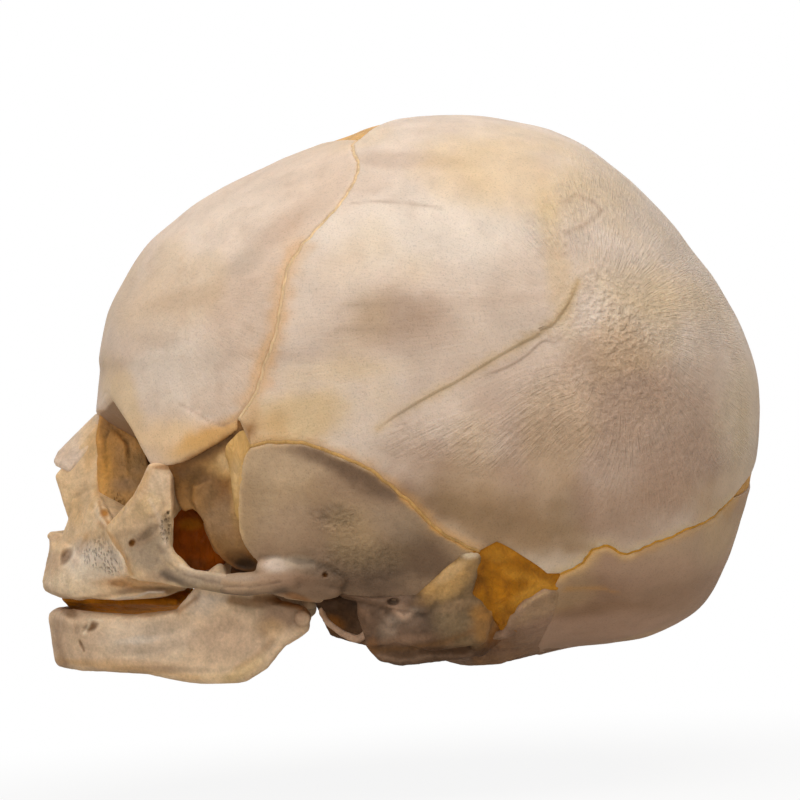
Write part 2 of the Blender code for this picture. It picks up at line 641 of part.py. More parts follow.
def bodies_of(shape):
    """The faces of each separate body of a mesh under work."""
    waiting = set(shape.faces)
    while waiting:
        body, edge_of_search = set(), [waiting.pop()]
        while edge_of_search:
            face = edge_of_search.pop()
            body.add(face)
            for edge in face.edges:
                for near in edge.link_faces:
                    if near in waiting:
                        waiting.remove(near)
                        edge_of_search.append(near)
        yield body


def largest_body(mesh):
    shape = bmesh.new()
    shape.from_mesh(mesh)
    found = list(bodies_of(shape))
    if len(found) > 1:
        keep = max(found, key=lambda body: sum(face.calc_area() for face in body))
        loose = [face for body in found if body is not keep for face in body]
        bmesh.ops.delete(shape, geom=loose, context="FACES")
        bare = [vertex for vertex in shape.verts if not vertex.link_faces]
        bmesh.ops.delete(shape, geom=bare, context="VERTS")
        shape.to_mesh(mesh)
    shape.free()
    return mesh


def box_between(low, high):
    shape = bmesh.new()
    size = [b - a for a, b in zip(low, high)]
    middle = [(a + b) / 2.0 for a, b in zip(low, high)]
    placed = Matrix.Translation(middle) @ Matrix.Diagonal((*size, 1.0))
    bmesh.ops.create_cube(shape, size=1.0, matrix=placed)
    mesh = bpy.data.meshes.new("box")
    shape.to_mesh(mesh)
    shape.free()
    return mesh


def left_of(distance):
    """Box that holds everything more than a distance to the left of the mid-plane."""
    reach = SKULL_LENGTH + SKULL_BREADTH
    return box_between((-reach, -reach, -reach), (reach, -distance, reach))


def mirrored(mesh):
    twin = mesh.copy()
    twin.transform(Matrix.Diagonal((1.0, -1.0, 1.0, 1.0)))
    twin.flip_normals()
    return twin


# The skull as it is put together: finished meshes, and grown copies that cut room for neighbours

MESHES = {}
GROWN = {}


def keep_pair(name, mesh):
    MESHES[name + LEFT] = mesh
    MESHES[name + RIGHT] = mirrored(mesh)


def grown_hulls(groups):
    return thinned(remeshed(hulls(groups, CUT_GAP), VOXEL), GROWN_TRIANGLES)


def cleared(mesh, neighbours, both_sides=False):
    """The mesh without the room that its neighbours take, those of the right side too if asked."""
    for neighbour in neighbours:
        for tool in GROWN[neighbour]:
            mesh = boolean(mesh, tool, "DIFFERENCE")
            if both_sides:
                mesh = boolean(mesh, mirrored(tool), "DIFFERENCE")
    return mesh


def bone(name, groups, neighbours, paired=True, from_midline=None):
    """One solid bone: hulls melted into one body, cut clear of its neighbours and thinned."""
    mesh = cleared(remeshed(hulls(groups), VOXEL), neighbours, not paired)
    if from_midline is not None:
        mesh = boolean(mesh, left_of(from_midline), "INTERSECT")
    mesh = smoothed(remeshed(mesh, VOXEL), MELT_ROUNDS)
    mesh = largest_body(thinned(mesh, TRIANGLES[name]))
    GROWN[name] = [grown_hulls(groups)]
    if paired:
        keep_pair(name, mesh)
    else:
        MESHES[name] = mesh


def coronal_line():
    return spread(on_vault_all(CORONAL_PX), CORONAL_COUNT)


def squamous_line():
    return spread(on_vault_all(SQUAMOUS_PX), SQUAMOUS_COUNT)


def lambdoid_line():
    return spread(on_vault_all(LAMBDOID_PX), LAMBDOID_COUNT)


def sagittal_line():
    return spread(on_midline_all(SAGITTAL_PX), SAGITTAL_COUNT)


def metopic_line():
    return spread(on_midline_all(METOPIC_PX), METOPIC_COUNT)


def anterior_lines():
    """The front fontanelle's two edges: side corner to front corner, back corner to side corner."""
    side = on_vault(*ANTERIOR_FONTANELLE_SIDE_PX)
    forward = spread([side, metopic_line()[-1]], FONTANELLE_EDGE_COUNT)
    return forward, spread([sagittal_line()[-1], side], FONTANELLE_EDGE_COUNT)


def vault_plates():
    """Outline and wall of the left parietal, frontal and temporal plates and half the occipital squama."""
    forward, backward = anterior_lines()
    parietal = coronal_line() + squamous_line()
    parietal += spread(on_vault_all(PARIETAL_MASTOID_PX), PARIETAL_MASTOID_COUNT)
    parietal += lambdoid_line() + sagittal_line() + backward[1:-1]
    frontal = coronal_line()[::-1] + forward[1:-1] + metopic_line()[::-1]
    frontal += spread(on_vault_all(FRONTAL_RIM_PX)[::-1], FRONTAL_RIM_COUNT)
    frontal += spread(on_vault_all(FRONTAL_TEMPLE_PX)[::-1], FRONTAL_TEMPLE_COUNT)
    temporal = squamous_line()[::-1]
    temporal += spread(on_vault_all(TEMPORAL_FRONT_PX), TEMPORAL_FRONT_COUNT)
    temporal += spread(on_vault_all(TEMPORAL_LOWER_PX), TEMPORAL_LOWER_COUNT)
    occipital = [on_midline(*LAMBDA_MIDLINE_PX)] + lambdoid_line()[::-1]
    occipital += spread(on_vault_all(OCCIPITAL_SIDE_PX), OCCIPITAL_SIDE_COUNT)
    occipital += [on_midline(*OCCIPITAL_END_MIDLINE_PX)]
    return {"parietal": (parietal, PARIETAL_WALL), "frontal": (frontal, FRONTAL_WALL),
            "temporal_squama": (temporal, TEMPORAL_WALL), "occipital_squama": (occipital, OCCIPITAL_WALL)}


def open_inset(loop, distance):
    """Draws in an outline that starts and ends on the midline, and keeps those ends there."""
    closing = loop + [loop[-1].lerp(loop[0], 0.5)]
    drawn = inset(closing, distance)[:-1]
    for index in (0, -1):
        drawn[index] = drawn[index].normalized() * math.pi / 2.0
    return drawn


def vault():
    gap = SUTURE_GAP / 2.0
    for name, (loop, wall) in vault_plates().items():
        single = name == "occipital_squama"
        draw = open_inset if single else inset
        MESHES[name] = plate(name, draw(loop, gap), PLATE_STEP, wall, 0.0, single)
        grown = plate(name, draw(loop, gap - CUT_GAP), PLATE_STEP, wall + 2.0 * CUT_GAP, -CUT_GAP, single)
        GROWN[name] = [grown]
    keep_pair("parietal", MESHES.pop("parietal"))


def frontal():
    """Frontal half: plate of the forehead and the roof of the orbit."""
    roof = remeshed(hulls(ORBIT_ROOF_PX), VOXEL)
    roof = boolean(roof, left_of(SUTURE_GAP / 2.0), "INTERSECT")
    mesh = boolean(MESHES.pop("frontal"), thinned(roof, TRIANGLES["orbit_roof"]), "UNION")
    keep_pair("frontal", largest_body(mesh))
    GROWN["frontal"].append(grown_hulls(ORBIT_ROOF_PX))


def condyle_mesh(grow):
    """Lying roller of the jaw joint, on the hinge axis."""
    low, high = (place(*JAW_HINGE_PX, depth) for depth in CONDYLE_ENDS_PX)
    low.x = high.x = (low.x + high.x) / 2.0
    low.z = high.z = (low.z + high.z) / 2.0
    shape = bmesh.new()
    add_hull(shape, [(low, CONDYLE_RADIUS + grow), (high, CONDYLE_RADIUS + grow)])
    mesh = bpy.data.meshes.new("condyle")
    shape.to_mesh(mesh)
    shape.free()
    return mesh


def temporal():
    """Squama with its zygomatic process and the socket of the jaw joint."""
    process = remeshed(hulls(ZYGOMATIC_PROCESS_PX), VOXEL)
    process = boolean(process, condyle_mesh(CUT_GAP), "DIFFERENCE")
    process = largest_body(thinned(smoothed(remeshed(process, VOXEL), 1), TRIANGLES["zygomatic_process"]))
    mesh = boolean(MESHES.pop("temporal_squama"), process, "UNION")
    keep_pair("temporal_squama", largest_body(mesh))
    GROWN["temporal_squama"].append(grown_hulls(ZYGOMATIC_PROCESS_PX))


def base_of_skull():
    bone("petromastoid", PETROMASTOID_PX,
         ("parietal", "temporal_squama", "occipital_squama", "mastoid_fontanelle"))
    bone("exoccipital", EXOCCIPITAL_PX,
         ("occipital_squama", "parietal", "petromastoid", "mastoid_fontanelle"))
    bone("basioccipital", BASIOCCIPITAL_PX, ("exoccipital", "petromastoid"), paired=False)
    bone("sphenoid_body", SPHENOID_BODY_PX, ("basioccipital", "petromastoid"), paired=False)
    bone("greater_wing", GREATER_WING_PX,
         ("frontal", "temporal_squama", "parietal", "petromastoid", "sphenoid_body", "basioccipital",
          "sphenoidal_fontanelle"))
    bone("ethmoid", ETHMOID_PX, ("frontal", "sphenoid_body"), paired=False)


def face():
    middle = CLEARANCE / 2.0
    bone("nasal", NASAL_PX, ("frontal", "ethmoid"), from_midline=middle)
    bone("maxilla", MAXILLA_PX, ("nasal", "frontal", "ethmoid", "greater_wing"), from_midline=middle)
    bone("zygomatic", ZYGOMATIC_PX, ("maxilla", "frontal", "temporal_squama", "greater_wing"))
    bone("lacrimal", LACRIMAL_PX, ("maxilla", "ethmoid", "frontal", "nasal"))
    bone("palatine", PALATINE_PX, ("maxilla", "greater_wing", "sphenoid_body", "ethmoid"),
         from_midline=middle)
    bone("vomer", VOMER_PX, ("maxilla", "palatine", "ethmoid", "sphenoid_body"), paired=False)
    bone("inferior_concha", CONCHA_PX, ("maxilla", "palatine", "ethmoid", "vomer"),
         from_midline=middle)
    pairs = zip(TYMPANIC_RING_PX, TYMPANIC_RING_PX[1:])
    bone("tympanic_ring", tuple(pairs), ("temporal_squama", "petromastoid"))


def dried_linings():
    """Dried membranes behind the orbit and under the palate."""
    bone("orbital_membrane", ORBIT_FILM_PX, ("maxilla", "zygomatic", "greater_wing", "palatine"))
    bone("palate_membrane", PALATE_FILM_PX, ("maxilla", "palatine", "vomer"), paired=False)


def jaw():
    """Half of the lower jaw with its condyle, and the cartilage between the halves."""
    body = remeshed(hulls(MANDIBLE_PX + (CONDYLE_NECK_PX,)), VOXEL)
    body = boolean(body, left_of(SYMPHYSIS_WIDTH / 2.0 + CLEARANCE), "INTERSECT")
    body = cleared(body, ("maxilla",))
    body = boolean(smoothed(remeshed(body, VOXEL), MELT_ROUNDS), condyle_mesh(0.0), "UNION")
    keep_pair("mandible", largest_body(thinned(remeshed(body, VOXEL), TRIANGLES["mandible"])))
    top, bottom = SYMPHYSIS_PX
    slab = hulls((((*top, 0, SYMPHYSIS_RADIUS_PX), (*bottom, 0, SYMPHYSIS_RADIUS_PX)),))
    half = SYMPHYSIS_WIDTH / 2.0
    reach = SKULL_LENGTH + SKULL_BREADTH
    slab = thinned(remeshed(slab, VOXEL), TRIANGLES["mandibular_symphysis"])
    middle = box_between((-reach, -half, -reach), (reach, half, reach))
    MESHES["mandibular_symphysis"] = boolean(slab, middle, "INTERSECT")


def shortened(line):
    """A line drawn back at both ends, clear of the membranes that it meets there."""
    return [line[0].lerp(line[1], END_SHARE)] + line[1:-1] + [line[-1].lerp(line[-2], END_SHARE)]


def film(name, loop, across_midline=False):
    """Membrane of a fontanelle, a little under the outer face of the bones around it."""
    return plate(name, loop, PLATE_STEP, MEMBRANE_WALL, MEMBRANE_DEPTH, across_midline)


def side_fontanelles():
    for name, table in (("sphenoidal_fontanelle", SPHENOIDAL_FONTANELLE_PX),
                        ("mastoid_fontanelle", MASTOID_FONTANELLE_PX)):
        loop = on_vault_all(table)
        keep_pair(name, film(name, inset(loop, CLEARANCE)))
        GROWN[name] = [plate(name, inset(loop, -CUT_GAP), PLATE_STEP, MEMBRANE_WALL + 2.0 * CUT_GAP,
                             MEMBRANE_DEPTH - CUT_GAP)]


def membranes():
    """Dried membranes of the sutures and of the fontanelles on the midline."""
    strip = (SUTURE_WIDTH, MEMBRANE_DEPTH, MEMBRANE_WALL)
    keep_pair("coronal_suture", ribbon("coronal", shortened(coronal_line()), *strip))
    keep_pair("squamous_suture", ribbon("squamous", shortened(squamous_line()), *strip))
    keep_pair("lambdoid_suture", ribbon("lambdoid", shortened(lambdoid_line()), *strip))
    sagittal, metopic = sagittal_line(), metopic_line()
    MESHES["sagittal_suture"] = ribbon("sagittal", shortened(sagittal), *strip)
    MESHES["metopic_suture"] = ribbon("metopic", shortened(metopic), *strip)
    edge = CLEARANCE - SUTURE_GAP / 2.0
    forward, backward = anterior_lines()
    MESHES["anterior_fontanelle"] = film("anterior", open_inset(backward[:-1] + forward, edge), True)
    posterior = [on_midline(*LAMBDA_MIDLINE_PX), lambdoid_line()[-1], sagittal[0]]
    MESHES["posterior_fontanelle"] = film("posterior", open_inset(posterior, edge), True)


def finish(name):
    """Dried bone or membrane in the colour that its name stands for."""
    base = name.replace(LEFT, "").replace(RIGHT, "")
    colour, roughness = FINISHES.get(base, BONE_FINISH)
    if base.endswith(("suture", "fontanelle", "membrane")):
        colour, roughness = MEMBRANE_FINISH
    material = bpy.data.materials.new(name + "_finish")
    material.use_nodes = True
    shader = material.node_tree.nodes["Principled BSDF"]
    shader.inputs["Base Color"].default_value = (*colour, 1.0)
    shader.inputs["Roughness"].default_value = roughness
    shader.inputs["Metallic"].default_value = 0.0
    material.diffuse_color = (*colour, 1.0)
    return material


def lowest(mesh, angle):
    """Lowest point of a mesh after a turn about the Y axis."""
    return min(vertex.co.z * math.cos(angle) - vertex.co.x * math.sin(angle) for vertex in mesh.vertices)


def resting_angle():
    """Turn about the Y axis at which the jaw and the back of the base touch one floor."""
    steep, flat = -0.5, 0.5
    for _ in range(SEARCH_ROUNDS):
        angle = (steep + flat) / 2.0
        if lowest(MESHES["mandible_left"], angle) < lowest(MESHES["exoccipital_left"], angle):
            steep = angle
        else:
            flat = angle
    return angle


def settle():
    """Turns the skull to its resting place and stands it on small flats, centred on the origin."""
    angle = resting_angle()
    turn = Matrix.Rotation(angle, 4, "Y")
    floor = lowest(MESHES["mandible_left"], angle) + REST_FLAT
    for mesh in MESHES.values():
        mesh.transform(turn)
    reach = SKULL_LENGTH + SKULL_BREADTH
    for name in ("mandible", "exoccipital"):
        above = box_between((-reach, -reach, floor), (reach, reach, reach))
        keep_pair(name, boolean(MESHES[name + LEFT], above, "INTERSECT"))
    xs = [vertex.co.x for mesh in MESHES.values() for vertex in mesh.vertices]
    move = Matrix.Translation((-(min(xs) + max(xs)) / 2.0, 0.0, -floor))
    for mesh in MESHES.values():
        mesh.transform(move)
    return move @ turn


def hinge_point(resting):
    low, high = (place(*JAW_HINGE_PX, depth) for depth in CONDYLE_ENDS_PX)
    middle = resting @ ((low + high) / 2.0)
    return Vector((middle.x, 0.0, middle.z))


def assemble(resting):
    """One object for each bone and membrane; the lower jaw's hang on an empty at its hinge."""
    hinge = bpy.data.objects.new("jaw_hinge", None)
    hinge.location = hinge_point(resting)
    bpy.context.scene.collection.objects.link(hinge)
    axes = bpy.data.objects.new("photograph_axes", None)
    axes.matrix_world = resting
    bpy.context.scene.collection.objects.link(axes)
    for name, mesh in MESHES.items():
        item = bpy.data.objects.new(name, mesh)
        bpy.context.scene.collection.objects.link(item)
        mesh.name = name
        mesh.materials.clear()
        mesh.materials.append(finish(name))
        if name.startswith("mandib"):
            mesh.transform(Matrix.Translation(-hinge.location))
            item.parent = hinge


def clear_scene():
    for item in list(bpy.data.objects):
        bpy.data.objects.remove(item, do_unlink=True)


def main():
    clear_scene()
    vault()
    frontal()
    temporal()
    side_fontanelles()
    base_of_skull()
    face()
    dried_linings()
    jaw()
    membranes()
    assemble(settle())


main()
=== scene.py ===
"""Looks of a near-term fetal skull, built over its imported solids.

The bones of the braincase are rebuilt as fine plates on the surface that the solids
follow. The other bones start as copies of their solids and are refined. Places are
given in pixels of a side view from the skull's left, with a depth from the mid-plane
in the same pixels.
"""
import math

import bpy
import numpy as np
from bpy.props import FloatProperty, FloatVectorProperty, PointerProperty
from mathutils import Matrix, Vector, kdtree, noise
from mathutils.geometry import delaunay_2d_cdt


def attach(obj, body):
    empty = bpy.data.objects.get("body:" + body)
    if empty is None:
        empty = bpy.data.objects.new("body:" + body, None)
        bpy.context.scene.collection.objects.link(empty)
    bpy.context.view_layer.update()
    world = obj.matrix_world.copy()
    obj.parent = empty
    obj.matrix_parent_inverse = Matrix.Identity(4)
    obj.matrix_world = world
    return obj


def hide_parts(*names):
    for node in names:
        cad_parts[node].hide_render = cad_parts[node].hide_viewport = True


bl_info = {
    "name": "Fetal Skull",
    "version": (1, 0, 0),
    "blender": (4, 5, 0),
    "location": "View3D > Sidebar > Skull",
    "description": "Bones and dried membranes of a fetal skull over their frame",
    "category": "Add Mesh",
}

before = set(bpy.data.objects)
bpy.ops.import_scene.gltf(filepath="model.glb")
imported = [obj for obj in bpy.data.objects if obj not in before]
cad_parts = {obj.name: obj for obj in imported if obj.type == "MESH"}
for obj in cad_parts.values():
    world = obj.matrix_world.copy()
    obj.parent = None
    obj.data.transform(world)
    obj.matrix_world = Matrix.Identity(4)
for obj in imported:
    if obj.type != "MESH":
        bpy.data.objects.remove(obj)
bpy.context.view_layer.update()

MM = 0.001

# Side view, and how the skull rests in it
LENS_PX = 400.0
IMAGE_PX = 800.0
PX = 120.0 * MM / 717.0
# The floor lies just below the lowest reach of the open jaw
FLOOR_HEIGHT = -21.0 * MM
CAMERA_DISTANCE = 0.7
HALF_BREADTH = 43.0 * MM
DEPTH_PX = HALF_BREADTH / 257.0
RESTING_TURN = math.radians(3.2780)
RESTING_MOVE = (0.000723, 0.0, 0.044248)
RESTING = Matrix.Translation(RESTING_MOVE) @ Matrix.Rotation(RESTING_TURN, 4, "Y")
RESTING_ARRAY = np.array(RESTING)

# Braincase: its widest point, its outline on the mid-plane, and how full it is by angle
POLE_PX = (550.0, 330.0)
PROFILE_PX = (
    (96, 419), (98, 393), (100, 371), (99, 357), (105, 325), (112, 304), (124, 281), (137, 258),
    (151, 240), (172, 222), (195, 204), (229, 184), (261, 169), (289, 156), (321, 144), (349, 134),
    (372, 125), (413, 117), (458, 115), (486, 117), (516, 122), (549, 130), (579, 143), (601, 158),
    (633, 184), (670, 222), (692, 251), (713, 277), (729, 304), (744, 335), (756, 373), (759, 410),
    (757, 450), (750, 485), (741, 518), (725, 565), (699, 608), (652, 635), (612, 643), (572, 647),
    (535, 655), (502, 662), (450, 664), (400, 664), (350, 660), (280, 652), (205, 630), (140, 585),
    (105, 535), (94, 480),
)
# Columns: angle in degrees, fullness from the mid-plane outward, fullness from the side inward
FULLNESS = np.array((
    (0, 2.3, 2.0), (45, 2.3, 2.0), (90, 2.3, 2.0), (135, 2.4, 2.0), (165, 2.5, 2.0),
    (183, 2.4, 2.2), (200, 2.1, 2.8), (230, 2.1, 3.0), (260, 2.3, 2.6), (290, 2.5, 2.1),
    (325, 2.4, 2.0), (360, 2.3, 2.0),
))

# Steps of the smooth curves, and of the search for a photographed point's depth
FULL_TURN = 360.0
LOOP_STEPS = 8
LINE_STEPS = 12
LINE_STEP = 0.5 * MM
UV_STEP = 0.004
DEPTH_ROUNDS = 80
DEPTH_PULL = 0.4

# Edges of the bones of the braincase
CORONAL_PX = (
    (359, 138), (353, 143), (354, 152), (358, 161), (357, 174), (349, 189), (335, 209), (319, 226),
    (301, 246), (291, 261), (285, 277), (282, 295), (279, 311), (277, 327), (271, 346), (264, 364),
    (258, 387), (248, 405), (238, 420),
)
SQUAMOUS_PX = (
    (249, 446), (268, 442), (293, 442), (312, 445), (325, 450), (340, 456), (351, 460), (365, 467),
    (378, 475), (402, 495), (418, 510), (433, 526), (447, 536), (466, 546), (480, 552),
)
PARIETAL_MASTOID_PX = ((497, 543), (512, 551), (531, 563), (547, 575))
LAMBDOID_PX = (
    (560, 575), (571, 570), (583, 563), (591, 553), (600, 547), (610, 547), (621, 554), (631, 554),
    (646, 547), (660, 542), (682, 532), (698, 526), (713, 518), (725, 507), (735, 497),
)
SAGITTAL_PX = (
    (757, 450), (759, 410), (756, 373), (744, 335), (713, 277), (670, 222), (601, 158), (549, 130),
    (486, 117), (405, 118),
)
METOPIC_PX = (
    (96, 416), (98, 393), (99, 357), (112, 304), (137, 258), (172, 222), (229, 184), (318, 145),
)
# Sutures beside the mid-plane, with the height, length and seed of their waves, and those on it
SIDE_SUTURES = {
    "coronal": (CORONAL_PX, 0.35 * MM, 1.6 * MM, 1.0),
    "squamous": (SQUAMOUS_PX, 0.3 * MM, 2.0 * MM, 2.0),
    "lambdoid": (LAMBDOID_PX, 0.5 * MM, 1.5 * MM, 3.0),
}
MIDLINE_SUTURES = {"sagittal": SAGITTAL_PX, "metopic": METOPIC_PX}
FRONTAL_TEMPLE_PX = ((238, 430), (225, 440), (208, 450), (192, 459), (178, 465), (151, 468))
FRONTAL_RIM_PX = (
    (146, 461), (143, 453), (137, 442), (131, 431), (124, 419), (117, 406), (110, 397), (104, 394),
    (101, 402), (99, 411),
)
TEMPORAL_FRONT_PX = ((242, 456), (238, 480), (236, 512), (239, 538), (249, 556), (260, 566))
TEMPORAL_LOWER_PX = (
    (300, 582), (330, 590), (350, 599), (385, 603), (412, 602), (428, 588), (446, 571), (464, 557),
)
OCCIPITAL_SIDE_PX = ((555, 586), (556, 602), (548, 625), (537, 648))
LAMBDA_MIDLINE_PX = (748, 478)
OCCIPITAL_END_MIDLINE_PX = (535, 655)
SPHENOIDAL_FONTANELLE_PX = (
    (230, 440), (242, 430), (254, 438), (249, 454), (244, 474), (243, 496), (243, 518), (237, 520),
    (233, 504), (231, 484), (227, 464), (224, 450),
)
MASTOID_FONTANELLE_PX = (
    (479, 556), (496, 544), (512, 552), (531, 563), (552, 574), (572, 594), (548, 592), (534, 602),
    (524, 616), (516, 630), (506, 636), (500, 622), (490, 608), (476, 599), (462, 594), (467, 576),
)

# Groups of balls: x, y, depth and radius in pixels. A depth of None lies just under the braincase,
# or lower by a fifth number.
ORBIT_ROOF_PX = (
    ((101, 404, None, 5), (104, 396, None, 5), (110, 394, None, 5), (205, 470, 70, 5), (192, 452, 32, 5),
     (112, 420, 24, 5)),
    ((110, 394, None, 5), (118, 403, None, 5), (131, 425, None, 5), (200, 476, 124, 5), (205, 470, 70, 5)),
    ((131, 425, None, 5), (144, 450, None, 5), (150, 460, None, 5), (172, 466, 164, 5), (198, 474, 130, 5)),
    ((101, 404, None, 5), (104, 398, None, 5), (112, 420, 22, 5), (102, 414, 10, 5)),
)
ZYGOMATIC_PROCESS_PX = (
    ((226, 584, 191, 10), (246, 585, 194, 11), (266, 582, 196, 11)),
    ((262, 582, 196, 11), (290, 580, 198, 11), (280, 566, 194, 8)),
    ((264, 568, 194, 8), (264, 561, 189, 5), (284, 560, 193, 6), (304, 562, 191, 6), (302, 574, 198, 9)),
    ((284, 562, 192, 6), (296, 576, 199, 9), (338, 580, 193, 8), (320, 560, 194, 6)),
    ((264, 582, 196, 10), (288, 587, 190, 11), (312, 592, 186, 10), (334, 590, 190, 8), (300, 576, 198, 9)),
    ((288, 592, 168, 7), (318, 596, 172, 7), (318, 588, 148, 8), (290, 590, 150, 7)),
)

PETROMASTOID_FORMS_PX = (
    ((414, 600, None, 5, 1), (428, 578, None, 5, 2), (458, 554, None, 5, 1), (477, 558, None, 6),
     (468, 592, None, 6), (440, 608, None, 7)),
    ((396, 602, None, 7, 1), (424, 602, None, 8, 1), (470, 600, None, 8), (488, 614, None, 7),
     (480, 636, 168, 8), (432, 642, 176, 9), (398, 634, 180, 9)),
    ((364, 600, None, 7, 1), (396, 602, None, 7, 1), (398, 634, 180, 9), (372, 640, 168, 6),
        (362, 614, 184, 5)),
    ((370, 642, 162, 6), (384, 653, 150, 9), (402, 657, 140, 9), (440, 651, 146, 10), (474, 648, 146, 9),
     (440, 632, 160, 10)),
    ((470, 600, None, 8), (488, 614, None, 7), (500, 640, None, 8), (480, 648, 146, 9), (474, 636, 168, 8)),
    ((320, 602, 150, 5), (362, 600, 150, 8), (368, 640, 142, 6), (334, 632, 142, 5)),
)
EXOCCIPITAL_FORMS_PX = (
    ((503, 636, None, 5), (528, 604, None, 5), (546, 593, None, 5), (564, 594, None, 6, 1),
     (562, 640, None, 8, 1), (530, 652, None, 8), (500, 656, None, 8), (530, 624, None, 6),
     (549, 616, None, 6), (514, 618, None, 5)),
    ((466, 654, 60, 12), (500, 655, 100, 9), (530, 652, None, 8), (478, 657, 120, 8)),
    ((530, 652, None, 8), (560, 640, None, 8, 1), (556, 642, 60, 8), (506, 654, 60, 8)),
)
TEMPLE_PX = (
    (164, 466), (182, 455), (202, 444), (220, 434), (234, 422), (247, 413), (262, 426), (256, 446),
    (248, 466), (246, 486), (246, 508), (249, 530), (257, 550), (268, 564), (264, 574), (242, 573),
    (225, 565), (214, 553), (207, 537), (200, 521), (191, 511), (181, 513), (174, 500),
)
ZYGOMATIC_FORMS_PX = (
    ((153, 469, 166, 6), (168, 467, 168, 6), (168, 508, 173, 6), (141, 496, 160, 6), (150, 512, 166, 7)),
    ((141, 496, 160, 6), (168, 508, 173, 6), (165, 545, 170, 8), (132, 518, 146, 7), (112, 529, 116, 6)),
    ((132, 518, 146, 7), (112, 529, 116, 6), (128, 556, 130, 7), (141, 574, 142, 7), (164, 575, 164, 8),
     (165, 545, 170, 8)),
    ((168, 470, 166, 6), (180, 482, 152, 5), (181, 502, 150, 5), (168, 518, 164, 5)),
    ((166, 556, 170, 8), (162, 575, 164, 8), (188, 578, 179, 9), (176, 562, 176, 7)),
    ((188, 578, 179, 9), (206, 580, 187, 9), (226, 584, 190, 10)),
)
MAXILLA_FORMS_PX = (
    ((60, 477, 20, 5), (67, 495, 22, 5), (75, 520, 26, 6), (96, 500, 46, 5), (94, 460, 32, 5),
     (98, 430, 26, 5), (72, 468, 22, 5)),
    ((74, 520, 26, 6), (96, 506, 54, 6), (108, 526, 104, 6), (92, 546, 60, 9), (68, 540, 20, 7)),
    ((98, 500, 60, 5), (98, 513, 70, 5), (109, 526, 110, 6), (112, 534, 112, 6)),
    ((51, 536, 4, 4), (66, 535, 10, 5), (66, 547, 14, 6), (56, 542, 4, 4)),
    ((54, 562, 8, 8), (52, 581, 8, 10), (64, 589, 34, 10), (66, 556, 28, 9)),
    ((66, 556, 28, 9), (64, 589, 34, 10), (84, 588, 58, 11), (96, 560, 66, 10)),
    ((96, 560, 66, 10), (84, 588, 58, 11), (118, 588, 84, 10), (126, 564, 100, 9)),
    ((126, 564, 100, 9), (118, 588, 84, 10), (150, 587, 96, 8), (150, 572, 112, 7)),
    ((150, 572, 112, 7), (150, 587, 96, 8), (182, 584, 96, 7), (176, 574, 98, 7)),
)
NASAL_FORMS_PX = (
    ((98, 418, 5, 5), (62, 454, 5, 5), (58, 461, 12, 4.5), (70, 468, 26, 5), (98, 440, 28, 5),
     (104, 420, 16, 5)),
)
ORBIT_WALL_PX = (
    ((104, 410, 22, 4), (126, 424, 28, 4), (142, 452, 36, 4), (148, 480, 46, 4), (132, 512, 54, 4),
     (106, 514, 56, 4), (100, 476, 42, 4), (100, 436, 32, 4)),
)
ORBIT_FILM_PX = (
    ((166, 502, 122, 4), (206, 508, 116, 4), (222, 562, 114, 4), (184, 574, 114, 4), (168, 560, 116, 4)),
)
PALATE_FILM_PX = (
    ((74, 596, 0, 5), (190, 592, 0, 5), (80, 610, 0, 5), (186, 612, 0, 5), (66, 598, 30, 4),
     (66, 598, -30, 4), (184, 600, 66, 4), (184, 600, -66, 4)),
)
MANDIBLE_CHAIN_PX = (
    ((58, 618, 12, 10), (64, 658, 12, 10)), ((74, 620, 40, 11), (82, 661, 38, 10)),
    ((100, 624, 62, 12), (108, 662, 62, 10)), ((136, 626, 84, 12), (146, 664, 86, 10)),
    ((172, 620, 104, 10), (184, 672, 108, 10)), ((204, 614, 122, 8), (222, 677, 126, 9)),
    ((234, 614, 140, 6), (244, 674, 140, 8)), ((264, 622, 150, 6), (263, 663, 148, 7)),
    ((290, 620, 158, 6), (284, 638, 157, 6)),
)
# The body of the jaw is a row of hulls, each from one pair of balls to the next
MANDIBLE_FORMS_PX = tuple(one + other for one, other in zip(MANDIBLE_CHAIN_PX, MANDIBLE_CHAIN_PX[1:])) + (
    ((200, 612, 122, 7), (212, 574, 148, 5), (220, 568, 150, 5), (236, 600, 144, 5), (238, 620, 142, 6)),
    ((236, 600, 144, 6), (256, 597, 147, 6), (284, 612, 156, 6), (264, 640, 150, 6), (234, 614, 140, 6)),
    ((184, 612, 112, 8), (197, 596, 124, 6), (210, 578, 142, 5), (214, 604, 130, 7)),
    ((262, 610, 149, 9), (262, 638, 148, 9), (286, 610, 158, 9), (300, 614, 161, 9), (301, 626, 161, 9),
     (286, 636, 156, 9)),
    ((222, 598, 140, 7), (246, 596, 147, 7), (266, 596, 150, 7), (284, 610, 156, 6), (250, 620, 144, 6)),
)

# Growth centres that the fibres of each plate spread from
FIBRE_CENTRES_PX = {
    "frontal": (170, 300), "parietal": (605, 320), "temporal": (300, 540), "occipital": (690, 590),
}

TONES = {
    "cream": "#E6D0BC", "blush": "#E5CBB4", "pale": "#EEDFCE", "yellow": "#E0BD85", "amber": "#BC7818",
    "tan": "#D3B595", "dusk": "#B8957A", "stain": "#A88F78", "grey": "#7A604A", "brown": "#87603A",
    "deep": "#5A3C22", "rose": "#C09B82", "ochre": "#EEC99C", "slate": "#6C5746", "pit": "#3A2612",
    "honey": "#DE9C38", "rust": "#8E5718", "glow": "#A65000", "flame": "#FFAA1E", "squama": "#AD8E70",
    "umber": "#96745A", "ash": "#A8937E", "shade_grey": "#54483E", "straw": "#D8A766", "wing": "#8A5826",
    "socket": "#C88F4C", "light": "#EBD3B4", "peach": "#F3D2AC", "wheat": "#E8C08C", "bistre": "#5E4430",
}


